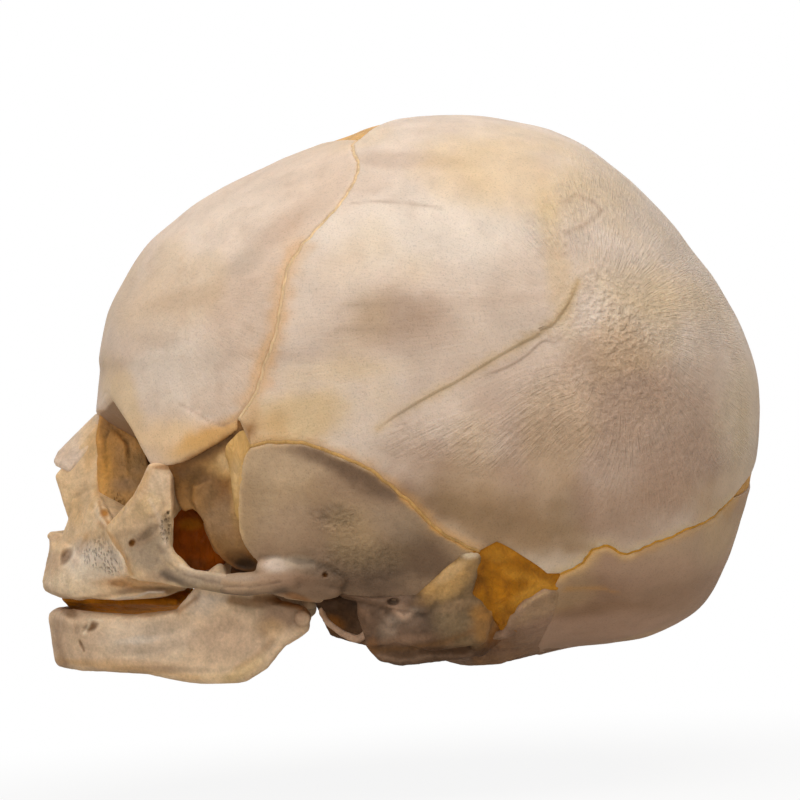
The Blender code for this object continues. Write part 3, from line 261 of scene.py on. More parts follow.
def linear(code):
    """Linear colour of an sRGB hex code."""
    parts = [int(code[place:place + 2], 16) / 255.0 for place in (1, 3, 5)]
    return tuple(part / 12.92 if part <= 0.04045 else ((part + 0.055) / 1.055) ** 2.4 for part in parts)


TONE = {name: np.array(linear(code)) for name, code in TONES.items()}


# Places on the side view and on the braincase

def to_plane(px, py, depth):
    shrink = 1.0 - depth / CAMERA_DISTANCE
    return (px - LENS_PX) * PX * shrink, (LENS_PX - py) * PX * shrink


def place(px, py, depth_px):
    """Resting place of a point of the side view at a depth from the mid-plane."""
    depth = depth_px * DEPTH_PX
    x, z = to_plane(px, py, depth)
    return RESTING @ Vector((x, -depth, z))


def settled(points):
    return points @ RESTING_ARRAY[:3, :3].T + RESTING_ARRAY[:3, 3]


def unsettled(points):
    return (points - RESTING_ARRAY[:3, 3]) @ RESTING_ARRAY[:3, :3]


def pixels(points):
    """Where resting points appear in the side view, those of the right side as if on the left."""
    x, y, z = unsettled(points).T
    shrink = 1.0 - np.abs(y) / CAMERA_DISTANCE
    return np.stack((LENS_PX + x / (PX * shrink), LENS_PX - z / (PX * shrink)), 1)


def spline(before, here, after, later, share):
    """Point of a smooth curve between here and after, a share of the way along."""
    return 0.5 * (2 * here + (after - before) * share
                  + (2 * before - 5 * here + 4 * after - later) * share ** 2
                  + (3 * here - before - 3 * after + later) * share ** 3)


def smooth_loop(points, steps=LOOP_STEPS):
    """Points of a smooth closed curve through the given ones."""
    before, after, later = (np.roll(points, shift, 0) for shift in (1, -1, -2))
    curve = [spline(before, points, after, later, step / steps) for step in range(steps)]
    return np.stack(curve, 1).reshape(-1, 2)


POLE = np.array(to_plane(*POLE_PX, HALF_BREADTH))
PROFILE = smooth_loop(np.array([to_plane(px, py, 0.0) for px, py in PROFILE_PX])) - POLE
PROFILE_ANGLES = np.degrees(np.arctan2(PROFILE[:, 1], PROFILE[:, 0])) % FULL_TURN
PROFILE_ORDER = np.argsort(PROFILE_ANGLES)
PROFILE_REACH = np.hypot(PROFILE[:, 0], PROFILE[:, 1])[PROFILE_ORDER]
PROFILE_ANGLES = PROFILE_ANGLES[PROFILE_ORDER]


def rays(angles):
    """Reach of the outline at each angle round the pole, and the two measures of its fullness."""
    degrees = np.degrees(angles) % FULL_TURN
    reach = np.interp(degrees, PROFILE_ANGLES, PROFILE_REACH, period=FULL_TURN)
    return reach, np.interp(degrees, *FULLNESS[:, :2].T), np.interp(degrees, *FULLNESS[:, ::2].T)


def vault_points(uv):
    """Points of the braincase, not yet resting: a quarter turn of u, v leads to the midline."""
    tilt, angle = np.hypot(uv[:, 0], uv[:, 1]), np.arctan2(uv[:, 1], uv[:, 0])
    reach, slope, turn = rays(angle)
    out = reach * np.abs(np.sin(tilt)) ** (2.0 / slope)
    fall = np.cos(tilt)
    width = HALF_BREADTH * np.sign(fall) * np.abs(fall) ** (2.0 / turn)
    return np.stack((POLE[0] + out * np.cos(angle), -width, POLE[1] + out * np.sin(angle)), 1)


def vault_normals(uv, step=UV_STEP):
    """Outward directions of the braincase's surface."""
    across = vault_points(uv + (step, 0.0)) - vault_points(uv - (step, 0.0))
    along = vault_points(uv + (0.0, step)) - vault_points(uv - (0.0, step))
    normals = np.cross(across, along)
    return normals / np.linalg.norm(normals, axis=1)[:, None]


def vault_coordinates(points):
    """The u and v of points on or near the left half of the braincase."""
    x, y, z = points.T
    angle = np.arctan2(z - POLE[1], x - POLE[0])
    reach, slope, turn = rays(angle)
    rise = (np.hypot(x - POLE[0], z - POLE[1]) / reach) ** (slope / 2.0)
    fall = -np.sign(y) * (np.abs(y) / HALF_BREADTH) ** (turn / 2.0)
    tilt = np.arctan2(rise, fall)
    return np.stack((tilt * np.cos(angle), tilt * np.sin(angle)), 1)


def on_vault(table):
    """The u and v of photographed points of the braincase."""
    px, py = np.array(table, dtype=float).T
    depth = np.zeros(len(px))
    for _ in range(DEPTH_ROUNDS):
        x, z = to_plane(px, py, depth)
        angle = np.arctan2(z - POLE[1], x - POLE[0])
        reach, slope, turn = rays(angle)
        share = np.minimum(1.0, np.hypot(x - POLE[0], z - POLE[1]) / reach)
        depth += DEPTH_PULL * (HALF_BREADTH * (1.0 - share ** slope) ** (1.0 / turn) - depth)
    tilt = np.arcsin(share ** (slope / 2.0))
    return np.stack((np.cos(angle) * tilt, np.sin(angle) * tilt), 1)


def to_midline(uv):
    return uv / np.linalg.norm(uv, axis=1)[:, None] * math.pi / 2.0


def on_midline(table):
    plane = np.array([to_plane(px, py, 0.0) for px, py in table]) - POLE
    return to_midline(plane)


def under_vault(uv, depth):
    """Resting points a depth under the braincase's surface."""
    depth = np.broadcast_to(np.asarray(depth, dtype=float), (len(uv),))
    return settled(vault_points(uv) - vault_normals(uv) * depth[:, None])


# Lines on the braincase

def marks_along(line):
    """Length of a line on the braincase up to each of its points."""
    gaps = np.linalg.norm(np.diff(vault_points(line), axis=0), axis=1)
    return np.concatenate(([0.0], np.cumsum(gaps)))


def resampled(line, spacing):
    """The line with evenly spaced points."""
    marks = marks_along(line)
    wanted = np.linspace(0.0, marks[-1], max(2, round(marks[-1] / spacing) + 1))
    return np.stack([np.interp(wanted, marks, line[:, axis]) for axis in (0, 1)], 1)


def smooth_line(points, spacing):
    """Evenly spaced points of a smooth curve through the given ones."""
    padded = np.vstack((2 * points[0] - points[1], points, 2 * points[-1] - points[-2]))
    before, here, after, later = (padded[k:len(padded) - 3 + k, None] for k in range(4))
    share = np.linspace(0.0, 1.0, LINE_STEPS, endpoint=False)[None, :, None]
    curve = spline(before, here, after, later, share)
    return resampled(np.vstack((curve.reshape(-1, 2), points[-1:])), spacing)


def beside(line, distance, closed=False):
    """The line moved over the braincase to its left, as seen from outside."""
    points = vault_points(line)
    ahead = np.roll(points, -1, 0) - np.roll(points, 1, 0) if closed else np.gradient(points, axis=0)
    side = np.cross(vault_normals(line), ahead)
    side /= np.linalg.norm(side, axis=1)[:, None]
    distance = np.broadcast_to(np.asarray(distance, dtype=float), (len(line),))
    return vault_coordinates(points + side * distance[:, None])


def wavy(line, height, length, seed):
    """The line with the small waves of a suture, which fade out at its ends."""
    marks = marks_along(line)
    fade = np.clip(np.minimum(marks, marks[-1] - marks) / (2.0 * length), 0.0, 1.0)
    waves = [noise.noise(Vector((mark / length, seed, 0.0))) for mark in marks]
    return beside(line, height * np.array(waves) * fade)


def suture_line(name):
    """Line of a suture: wavy on the left side, or straight on the mid-plane."""
    if name in MIDLINE_SUTURES:
        return to_midline(smooth_line(on_midline(MIDLINE_SUTURES[name]), LINE_STEP))
    table, height, length, seed = SIDE_SUTURES[name]
    return wavy(smooth_line(on_vault(table), LINE_STEP), height, length, seed)


def straight(*points):
    return resampled(np.array(points), LINE_STEP)[1:-1]


def plate_loops():
    """Outlines of the left half of the braincase's bones."""
    coronal, squamous, lambdoid = (suture_line(name) for name in ("coronal", "squamous", "lambdoid"))
    sagittal, metopic = suture_line("sagittal"), suture_line("metopic")
    mastoid, rim, temple, front, lower, side = (smooth_line(on_vault(table), LINE_STEP) for table in (
        PARIETAL_MASTOID_PX, FRONTAL_RIM_PX[::-1], FRONTAL_TEMPLE_PX[::-1], TEMPORAL_FRONT_PX,
        TEMPORAL_LOWER_PX, OCCIPITAL_SIDE_PX))
    top, end = on_midline((LAMBDA_MIDLINE_PX,)), on_midline((OCCIPITAL_END_MIDLINE_PX,))
    return {
        "parietal": np.vstack((coronal, squamous, mastoid, lambdoid, sagittal,
                               straight(sagittal[-1], coronal[0]))),
        "frontal": np.vstack((coronal[::-1], straight(coronal[0], metopic[-1]), metopic[::-1], rim, temple)),
        "temporal": np.vstack((squamous[::-1], front, lower)),
        "occipital": np.vstack((top, straight(top[0], lambdoid[-1]), lambdoid[::-1], side,
                                straight(side[-1], end[0]), end)),
        "anterior": np.vstack((sagittal[-1:], straight(sagittal[-1], coronal[0]), coronal[:1],
                               straight(coronal[0], metopic[-1]), metopic[-1:])),
        "posterior": np.vstack((top, straight(top[0], lambdoid[-1]), lambdoid[-1:],
                                straight(lambdoid[-1], sagittal[0]), sagittal[:1])),
    }


# Objects

WELD = 1e-6


def select_only(piece):
    bpy.ops.object.select_all(action="DESELECT")
    piece.select_set(True)
    bpy.context.view_layer.objects.active = piece


def new_piece(name, mesh):
    piece = bpy.data.objects.new(name, mesh)
    bpy.context.scene.collection.objects.link(piece)
    select_only(piece)
    return piece


def joined(first, *others):
    select_only(first)
    for other in others:
        other.select_set(True)
    bpy.ops.object.join()
    return first


def in_edit_mode(piece, *steps):
    """Runs edit-mode operators, each a function and its settings, on all of a piece."""
    select_only(piece)
    bpy.ops.object.mode_set(mode="EDIT")
    bpy.ops.mesh.select_all(action="SELECT")
    for step, settings in steps:
        step(**settings)
    bpy.ops.object.mode_set(mode="OBJECT")


def modified(piece, kind, **settings):
    modifier = piece.modifiers.new(kind, kind)
    for key, value in settings.items():
        setattr(modifier, key, value)
    select_only(piece)
    bpy.ops.object.modifier_apply(modifier=modifier.name)
    return piece


def melted(piece, voxel, rounds):
    """The piece as one closed skin of even faces, smoothed."""
    modified(piece, "REMESH", mode="VOXEL", voxel_size=voxel)
    return modified(piece, "SMOOTH", factor=0.5, iterations=rounds)


def roughened(piece, grain, height):
    """Raises and sinks the surface by a cloud pattern of the given grain."""
    pattern = bpy.data.textures.new(piece.name + "_grain", "CLOUDS")
    pattern.noise_scale = grain
    pattern.noise_depth = 2
    return modified(piece, "DISPLACE", texture=pattern, texture_coords="LOCAL", strength=height,
                    mid_level=0.5)


def copy_of_node(node, name):
    piece = new_piece(name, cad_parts[node].data.copy())
    piece.data.materials.clear()
    in_edit_mode(piece, (bpy.ops.mesh.remove_doubles, {"threshold": WELD}))
    return piece


BALL_DIVISIONS = 2


def ball_place(entry):
    """Middle and radius of a ball of a table of forms."""
    px, py, depth, radius = entry[:4]
    if depth is None:
        return Vector(under_vault(on_vault([(px, py)]), (radius + sum(entry[4:])) * PX)[0]), radius * PX
    return place(px, py, depth), radius * PX


def add_ball(entry):
    centre, radius = ball_place(entry)
    bpy.ops.mesh.primitive_ico_sphere_add(subdivisions=BALL_DIVISIONS, radius=radius, location=centre)


def hull_pieces(name, groups):
    """One hull of balls for each group, joined into one object."""
    hulls = []
    for group in groups:
        bpy.ops.object.select_all(action="DESELECT")
        add_ball(group[0])
        hull = bpy.context.object
        bpy.ops.object.transform_apply()
        bpy.ops.object.mode_set(mode="EDIT")
        for entry in group[1:]:
            add_ball(entry)
        bpy.ops.mesh.select_all(action="SELECT")
        bpy.ops.mesh.convex_hull()
        bpy.ops.object.mode_set(mode="OBJECT")
        hulls.append(hull)
    whole = joined(*hulls)
    whole.name = name
    return whole


def mirrored(piece, name):
    mesh = piece.data.copy()
    mesh.transform(Matrix.Diagonal((1.0, -1.0, 1.0, 1.0)))
    mesh.flip_normals()
    return new_piece(name, mesh)


def vertex_array(piece, layer="vertices", key="co"):
    """Places of a piece's vertices, or another layer of three numbers each."""
    values = np.empty(len(piece.data.vertices) * 3, dtype=np.float32)
    getattr(piece.data, layer).foreach_get(key, values)
    return values.reshape(-1, 3).astype(float)


def vertex_normals(piece):
    return vertex_array(piece, "vertex_normals", "vector")


def set_vertices(piece, points):
    """Moves a piece's vertices to the given points."""
    piece.data.vertices.foreach_set("co", points.astype(np.float32).ravel())
    piece.data.update()


# Plates

# Layers of the cloud noise, as fineness and strength, and the whole numbers that mix its grid's corners
CLOUD_LAYERS = ((1.0, 0.7), (2.1, 0.3))
CLOUD_CONTRAST = 1.4
SEED_SHIFT = 7.3
GRID_PRIMES = (73856093, 19349663, 83492791)
KEY_MIXER = 1274126177
HALF_RANGE = 32767.5

# Length over the braincase of one unit of u or v, and the height of a row of even triangles of side 1
UV_LENGTH = 0.045
ROW_HEIGHT = math.sqrt(0.75)
# Rows of points inside an edge and beside a crease, and the room they keep, in shares of their distance
EDGE_ROWS = (0.15 * MM, 0.4 * MM)
EDGE_ROOM = 0.7
CREASE_ROWS = (-0.35 * MM, -0.1 * MM, 0.1 * MM, 0.35 * MM)
# Room around a crease, a filled place and the mid-plane, in shares of the spacing
CREASE_ROOM = 0.6
FILL_ROOM = 0.55
SEAM_ROOM = 0.5
# A plate's edge: its outer face falls by a share of the wall, its inner face rises and is undercut
RIM_FALL, RIM_WIDTH = 0.14, 0.6 * MM
EDGE_WALL, THICK_WALL, FEATHER_WIDTH = 0.62, 0.38, 3.0 * MM
UNDERCUT, UNDERCUT_WIDTH = 0.1, 0.5 * MM
RELIEF_START = 1.5 * MM
ON_SEAM = 1e-7
SEAM_WELD = 2e-6
RIBBON_SIDES = 8


def smooth_share(values):
    share = np.clip(values, 0.0, 1.0)
    return share * share * (3.0 - 2.0 * share)


def inside_loop(points, loop):
    after = np.roll(loop, -1, 0)
    odd = np.zeros(len(points), dtype=bool)
    for (x0, y0), (x1, y1) in zip(loop, after):
        if y0 != y1:
            crosses = (points[:, 1] < y0) != (points[:, 1] < y1)
            odd ^= crosses & (points[:, 0] < x0 + (points[:, 1] - y0) / (y1 - y0) * (x1 - x0))
    return odd


def nearest_on(points, line):
    """Distance from each point to the nearest point of a dense line, and that one's number."""
    line = np.hstack((line, np.zeros((len(line), 3 - line.shape[1]))))
    points = np.hstack((points, np.zeros((len(points), 3 - points.shape[1]))))
    tree = kdtree.KDTree(len(line))
    for index, place_on_line in enumerate(line.tolist()):
        tree.insert(place_on_line, index)
    tree.balance()
    found = np.array([tree.find(point)[1:] for point in points.tolist()]).reshape(-1, 2)
    return found[:, 1], found[:, 0].astype(int)


def distance_to(points, line):
    return nearest_on(points, line)[0]


def clouds(points, size, seed):
    """Soft noise of two layers, from -1 to 1, at each point: each corner of a grid has its own value."""
    total = np.zeros(len(points))
    for fineness, strength in CLOUD_LAYERS:
        cells = points / size * fineness + seed * SEED_SHIFT
        corner = np.floor(cells).astype(np.int64)
        share = smooth_share(cells - corner)
        for step in range(8):
            offset = np.array((step & 1, step >> 1 & 1, step >> 2))
            key = (corner + offset) @ np.array(GRID_PRIMES)
            key = (key ^ key >> 13) * KEY_MIXER & 0x7FFFFFFF
            value = ((key ^ key >> 15) & 0xFFFF) / HALF_RANGE - 1.0
            total += strength * value * np.prod(np.where(offset == 1, share, 1.0 - share), axis=1)
    return np.clip(CLOUD_CONTRAST * total, -1.0, 1.0)


def vault_plate(name, loop, gap, spacing, wall, top=0.0, across=False, relief=None, creases=()):
    """Plate of the braincase inside an outline, thinner and rounded at its edge.

    An outline across the midline starts and ends there, and its plate is mirrored and welded.
    """
    edge = beside(loop, gap, not across)
    if across:
        edge[[0, -1]] = to_midline(edge[[0, -1]])
        seam = to_midline(resampled(np.array((edge[-1], edge[0])), spacing))[1:-1]
        border = np.vstack((edge, seam))
    else:
        border = edge
    solid_edge = vault_points(edge)
    low, high = border.min(axis=0), border.max(axis=0)
    step = spacing / UV_LENGTH
    grid = []
    for row, v in enumerate(np.arange(low[1], high[1], step * ROW_HEIGHT)):
        columns = np.arange(low[0] - (row % 2) * step / 2.0, high[0], step)
        grid.append(np.stack((columns, np.full(len(columns), v)), 1))
    grid = np.vstack(grid)
    rings = [(beside(edge, depth, not across), depth * EDGE_ROOM) for depth in EDGE_ROWS]
    lines = [(beside(crease, shift), CREASE_ROOM * spacing) for crease in creases for shift in CREASE_ROWS]
    fixed = np.zeros((0, 2))
    for points, room in rings + lines:
        points = points[inside_loop(points, border)]
        points = points[distance_to(vault_points(points), solid_edge) > room]
        fixed = np.vstack((fixed, points))
    grid = grid[inside_loop(grid, border)]
    solid = vault_points(grid)
    keep = distance_to(solid, np.vstack((solid_edge, vault_points(fixed)))) > FILL_ROOM * spacing
    if across:
        keep &= np.abs(solid[:, 1]) > SEAM_ROOM * spacing
    points = np.vstack((border, fixed, grid[keep]))
    cut = delaunay_2d_cdt([Vector(point) for point in points], [], [list(range(len(border)))], 1, 0.0)
    points = np.array([tuple(point) for point in cut[0]])
    triangles = [tuple(face) for face in cut[2]]
    solid = vault_points(points)
    inward = distance_to(solid, solid_edge)
    depth = top + RIM_FALL * wall * (1.0 - smooth_share(inward / RIM_WIDTH))
    if relief is not None:
        depth = depth + relief(points, inward) * smooth_share(inward / RELIEF_START)
    inner = top + wall * (EDGE_WALL + THICK_WALL * smooth_share(inward / FEATHER_WIDTH))
    inner -= UNDERCUT * wall * (1.0 - smooth_share(inward / UNDERCUT_WIDTH))
    upper = vault_points(points) - vault_normals(points) * depth[:, None]
    lower = vault_points(points) - vault_normals(points) * inner[:, None]
    if across:
        on_seam = np.abs(solid[:, 1]) < ON_SEAM
        upper[on_seam, 1] = 0.0
        lower[on_seam, 1] = 0.0
    size = len(points)
    used = dict.fromkeys(side for a, b, c in triangles for side in ((a, b), (b, c), (c, a)))
    faces = list(triangles) + [tuple(corner + size for corner in face[::-1]) for face in triangles]
    for start, end in used:
        if (end, start) not in used and not (across and on_seam[start] and on_seam[end]):
            faces.append((end, start, start + size, end + size))
    mesh = bpy.data.meshes.new(name)
    mesh.from_pydata(settled(np.vstack((upper, lower))).tolist(), [], faces)
    mesh.update()
    piece = new_piece(name, mesh)
    if across:
        twin = mirrored(piece, name + "_twin")
        joined(piece, twin)
        in_edit_mode(piece, (bpy.ops.mesh.remove_doubles, {"threshold": SEAM_WELD}))
    in_edit_mode(piece, (bpy.ops.mesh.delete_loose, {}),
                 (bpy.ops.mesh.normals_make_consistent, {"inside": False}))
    return piece


def ribbon(name, line, width, top, wall):
    """Strip of dried membrane along a line, its section a flat oval."""
    turns = np.linspace(0.0, 2.0 * math.pi, RIBBON_SIDES, endpoint=False)
    rows = [under_vault(beside(line, width / 2.0 * math.cos(turn)), top + wall / 2.0 * (1.0 - math.sin(turn)))
            for turn in turns]
    vertices = np.stack(rows, 1).reshape(-1, 3)
    faces = []
    for low in range(0, RIBBON_SIDES * (len(line) - 1), RIBBON_SIDES):
        for corner in range(RIBBON_SIDES):
            after = (corner + 1) % RIBBON_SIDES
            high = low + RIBBON_SIDES
            faces.append((low + corner, low + after, high + after, high + corner))
    last = len(vertices) - RIBBON_SIDES
    faces += [tuple(range(RIBBON_SIDES)), tuple(range(len(vertices) - 1, last - 1, -1))]
    mesh = bpy.data.meshes.new(name)
    mesh.from_pydata(vertices.tolist(), [], faces)
    piece = new_piece(name, mesh)
    in_edit_mode(piece, (bpy.ops.mesh.normals_make_consistent, {"inside": False}))
    return piece


# Colour of each place

# Size and seed of the clouds that make stains ragged, and of the blotches all over
BROAD_CLOUDS = (7.0 * MM, 3.0)
CLOSE_CLOUDS = (1.8 * MM, 5.0)
BLOTCHES = (14.0 * MM, 11.0)
# Size and seed of the clouds at the edges of coarse bone
GRAIN_CLOUDS = ((9.0 * MM, 8.0), (3.0 * MM, 9.0))
LINE_POINTS = 24
# Where an oval begins to fade, in shares of its size, and over what share it does
OVAL_END, OVAL_FADE, STAIN_END = 1.35, 0.9, 1.4
# A hollow counts in full from this depth, measured against the places this many edges away
HOLLOW_DEPTH = 0.07 * MM
HOLLOW_EDGES = 7
# A bone of the braincase shows its inner tone from this depth on
INNER_DEPTH, INNER_FADE = 0.6 * MM, 0.4 * MM


def toned(colours, tone, weight):
    return colours + (TONE[tone] - colours) * np.clip(weight, 0.0, 1.0)[:, None]


def oval_reach(spots, px, py, wide, high, turn):
    """Distance of each place from an oval's middle, 1 at its edge."""
    turned = math.radians(turn)
    across = (spots - (px, py)) @ np.array(((math.cos(turned), -math.sin(turned)),
                                            (math.sin(turned), math.cos(turned))))
    return np.hypot(across[:, 0] / wide, across[:, 1] / high)


def pixel_distance(spots, line):
    line = np.array(line, dtype=float)
    return distance_to(spots, np.vstack([np.linspace(a, b, LINE_POINTS) for a, b in zip(line, line[1:])]))


def carved(piece, pits=(), lines=()):
    """Sinks pits and lines into the outer side of a left piece, by a depth in pixels.

    A pit is x, y, half width, half height, turn and depth, a line its points, width and
    depth. A negative depth raises it.
    """
    points = vertex_array(piece)
    spots = pixels(points)
    sink = np.zeros(len(points))
    for px, py, wide, high, turn, depth in pits:
        sink += depth * smooth_share((OVAL_END - oval_reach(spots, px, py, wide, high, turn)) / OVAL_FADE)
    for line, width, depth in lines:
        sink += depth * np.exp(-(pixel_distance(spots, line) / width) ** 2)
    points[:, 1] += sink * PX * smooth_share(-vertex_normals(piece)[:, 1] / 0.4)
    set_vertices(piece, points)
    return piece


def hollows(piece):
    """How deep each place lies in a hollow: 1 in a pit, -1 on a crest."""
    points = vertex_array(piece)
    pairs = np.empty(len(piece.data.edges) * 2, dtype=np.int32)
    piece.data.edges.foreach_get("vertices", pairs)
    first, second = pairs.reshape(-1, 2).T
    count = np.bincount(first, minlength=len(points)) + np.bincount(second, minlength=len(points))
    spread = points
    for _ in range(HOLLOW_EDGES):
        total = [np.bincount(first, spread[second, axis], len(points))
                 + np.bincount(second, spread[first, axis], len(points)) for axis in range(3)]
        spread = np.stack(total, 1) / np.maximum(count, 1)[:, None]
    lift = np.einsum("ij,ij->i", spread - points, vertex_normals(piece))
    return np.clip(lift / HOLLOW_DEPTH, -1.0, 1.0)


def painted(piece, ground, patches=(), strokes=(), centre=None, inner="ochre", grime_and_shade=0.0, cloudy=1.0):
    """Stores the tone of each place of a bone, and the run of its fibres from their centre.

    A patch is a tone, x, y, half width, half height, turn and strength, a stroke a tone, its
    points, width and strength. Bone given grime and shade is darker in its hollows, partly grime
    and partly painted shade, and lighter on its crests, a painted highlight; cloudy bone has faint
    blotches.
    """
    points = vertex_array(piece)
    spots = pixels(points)
    broad, close, blotch = (clouds(points, *kind) for kind in (BROAD_CLOUDS, CLOSE_CLOUDS, BLOTCHES))
    colours = np.tile(TONE[ground], (len(points), 1))
    for tone, px, py, wide, high, turn, strength in patches:
        reach = oval_reach(spots, px, py, wide, high, turn) + 0.25 * broad + 0.12 * close
        colours = toned(colours, tone, strength * smooth_share(STAIN_END - reach))
    colours = toned(colours, "yellow", cloudy * 0.22 * smooth_share(blotch * 1.6))
    shadow = 0.16 * smooth_share(-blotch * 1.6) + 0.12 * smooth_share(close)
    colours = toned(colours, "dusk", cloudy * shadow)
    for tone, line, width, strength in strokes:
        away = pixel_distance(spots, line) / (width * (1.0 + 0.5 * close))
        colours = toned(colours, tone, strength * np.exp(-away ** 2) * (0.85 + 0.3 * broad))
    # Darker in the hollows, partly grime and partly painted shade; lighter on the crests, a painted highlight
    if grime_and_shade:
        sunk = hollows(piece)
        colours *= (1.0 - grime_and_shade * np.maximum(sunk, 0.0) - 0.25 * grime_and_shade * np.minimum(sunk, 0.0))[:, None]
    mesh = piece.data
    if centre is not None:
        plane = unsettled(points)
        plane[:, 1] = -np.abs(plane[:, 1])
        uv = vault_coordinates(plane)
        away = uv - on_vault([centre])
        angle = np.arctan2(away[:, 1], away[:, 0])
        reach = np.hypot(away[:, 0], away[:, 1])
        sunk = np.einsum("ij,ij->i", vault_points(uv) - plane, vault_normals(uv))
        colours = toned(colours, inner, smooth_share((sunk - INNER_DEPTH) / INNER_FADE) * 0.8)
        fibre = mesh.attributes.new("fibre", "FLOAT_VECTOR", "POINT")
        fibre.data.foreach_set("vector", np.stack((np.cos(angle), np.sin(angle), reach), 1).ravel())
    tones = mesh.attributes.new("tone", "FLOAT_COLOR", "POINT")
    tones.data.foreach_set("color", np.hstack((colours, np.ones((len(points), 1)))).ravel())
    return piece


# Materials

def add_node(tree, kind, inputs=None, **settings):
    """Adds a node with its settings. Each input is a value, or another node's output, which is linked."""
    node = tree.nodes.new("ShaderNode" + kind)
    for key, value in settings.items():
        setattr(node, key, value)
    for key, value in (inputs or {}).items():
        if isinstance(value, bpy.types.NodeSocket):
            tree.links.new(value, node.inputs[key])
        else:
            node.inputs[key].default_value = value
    return node


def new_material(name):
    """A material without nodes, and its tree."""
    material = bpy.data.materials.new(name)
    material.use_nodes = True
    material.node_tree.nodes.clear()
    return material, material.node_tree


def stored(tree, name, output):
    """What a piece's vertices store under a name."""
    return add_node(tree, "Attribute", attribute_name=name).outputs[output]


def object_places(tree):
    return add_node(tree, "TexCoord").outputs["Object"]


def stretched(tree, places, scale):
    """Places scaled apart along each axis."""
    return add_node(tree, "Mapping", {"Vector": places, "Scale": scale}, vector_type="POINT").outputs[0]


def noise_map(tree, places, scale, detail, roughness=0.5, distortion=0.0):
    """Cloud noise at some places."""
    return add_node(tree, "TexNoise", {"Vector": places, "Scale": scale, "Detail": detail,
                                       "Roughness": roughness, "Distortion": distortion}).outputs[0]


def ranged(tree, value, start, end, low=0.0, high=1.0):
    """A value between start and end brought to the range from low to high."""
    return add_node(tree, "MapRange", {"Value": value, "From Min": start, "From Max": end,
                                       "To Min": low, "To Max": high}).outputs[0]


def mixed(tree, share, first, second):
    return add_node(tree, "Mix", {"Factor": share, "A": first, "B": second}, data_type="FLOAT").outputs[0]


def computed(tree, operation, first, second):
    return add_node(tree, "Math", {0: first, 1: second}, operation=operation).outputs[0]


def raised(tree, height, strength, distance, under=None):
    """Normals of a surface raised by a height, over those of another bump."""
    inputs = {"Height": height, "Strength": strength, "Distance": distance}
    if under is not None:
        inputs["Normal"] = under
    return add_node(tree, "Bump", inputs).outputs[0]


def finished(material, tree, shader):
    add_node(tree, "OutputMaterial", {"Surface": shader.outputs[0]})
    return material


def skin_of(material, tree, tone, shade, normal, **values):
    """The stored tone times a shade, on a shader with the given values."""
    colour = add_node(tree, "VectorMath", {0: tone, "Scale": shade}, operation="SCALE").outputs[0]
    inputs = {"Base Color": colour, "Normal": normal}
    for key, value in values.items():
        inputs[SHADER_INPUTS[key]] = value
    return finished(material, tree, add_node(tree, "BsdfPrincipled", inputs))


SHADER_INPUTS = {
    "roughness": "Roughness", "specular": "Specular IOR Level", "glow": "Subsurface Weight",
    "glow_radius": "Subsurface Radius", "glow_depth": "Subsurface Scale",
}


def cranial_bone():
    """Dried compact bone laid down in fibres that spread from a centre, matt and faintly waxy."""
    material, tree = new_material("dried_cranial_bone")
    tone, fibre = stored(tree, "tone", "Color"), stored(tree, "fibre", "Vector")
    grain, places = stored(tree, "grain", "Fac"), object_places(tree)
    # Fibres about 0.4 mm wide and 3 mm long, finer far from their centre
    fibres = [noise_map(tree, stretched(tree, fibre, (width, width, run)), 1.0, 3.0, 0.55)
              for width, run in ((55.0, 15.0), (105.0, 20.0))]
    reach = add_node(tree, "SeparateXYZ", {0: fibre}).outputs["Z"]
    streaks = mixed(tree, ranged(tree, reach, 0.35, 0.8), *fibres)
    # Bumps about 0.6 mm across, where the fibres break up and at their centre
    knobs = noise_map(tree, places, 1100.0, 2.0)
    laid = mixed(tree, ranged(tree, reach, 0.1, 0.38), knobs, streaks)
    rough = mixed(tree, 0.4, laid, knobs)
    # Clouds about 5 mm across, and pores about 0.15 mm across
    mottle = noise_map(tree, places, 170.0, 5.0, 0.6)
    speckle = noise_map(tree, places, 3600.0, 3.0, 0.6)
    # Hollows between the fibres and the pores are darker, partly painted shade that follows their bumps; thin
    # places are darker too
    streaked = mixed(tree, grain, 1.0, ranged(tree, rough, 0.38, 0.6, 0.88, 1.07))
    cloudy = ranged(tree, mottle, 0.3, 0.7, 0.91, 1.06)
    specks = ranged(tree, speckle, 0.3, 0.48, 0.82, 1.0)
    shade = computed(tree, "MULTIPLY", computed(tree, "MULTIPLY", streaked, cloudy), specks)
    ridges = raised(tree, computed(tree, "MULTIPLY", rough, grain), 0.9, 0.8 * MM)
    skin = raised(tree, speckle, 0.35, 0.1 * MM, ridges)
    return skin_of(material, tree, tone, shade, skin, roughness=0.55, specular=0.16, glow=0.15,
                   glow_radius=(1.0, 0.6, 0.35), glow_depth=1.5 * MM)


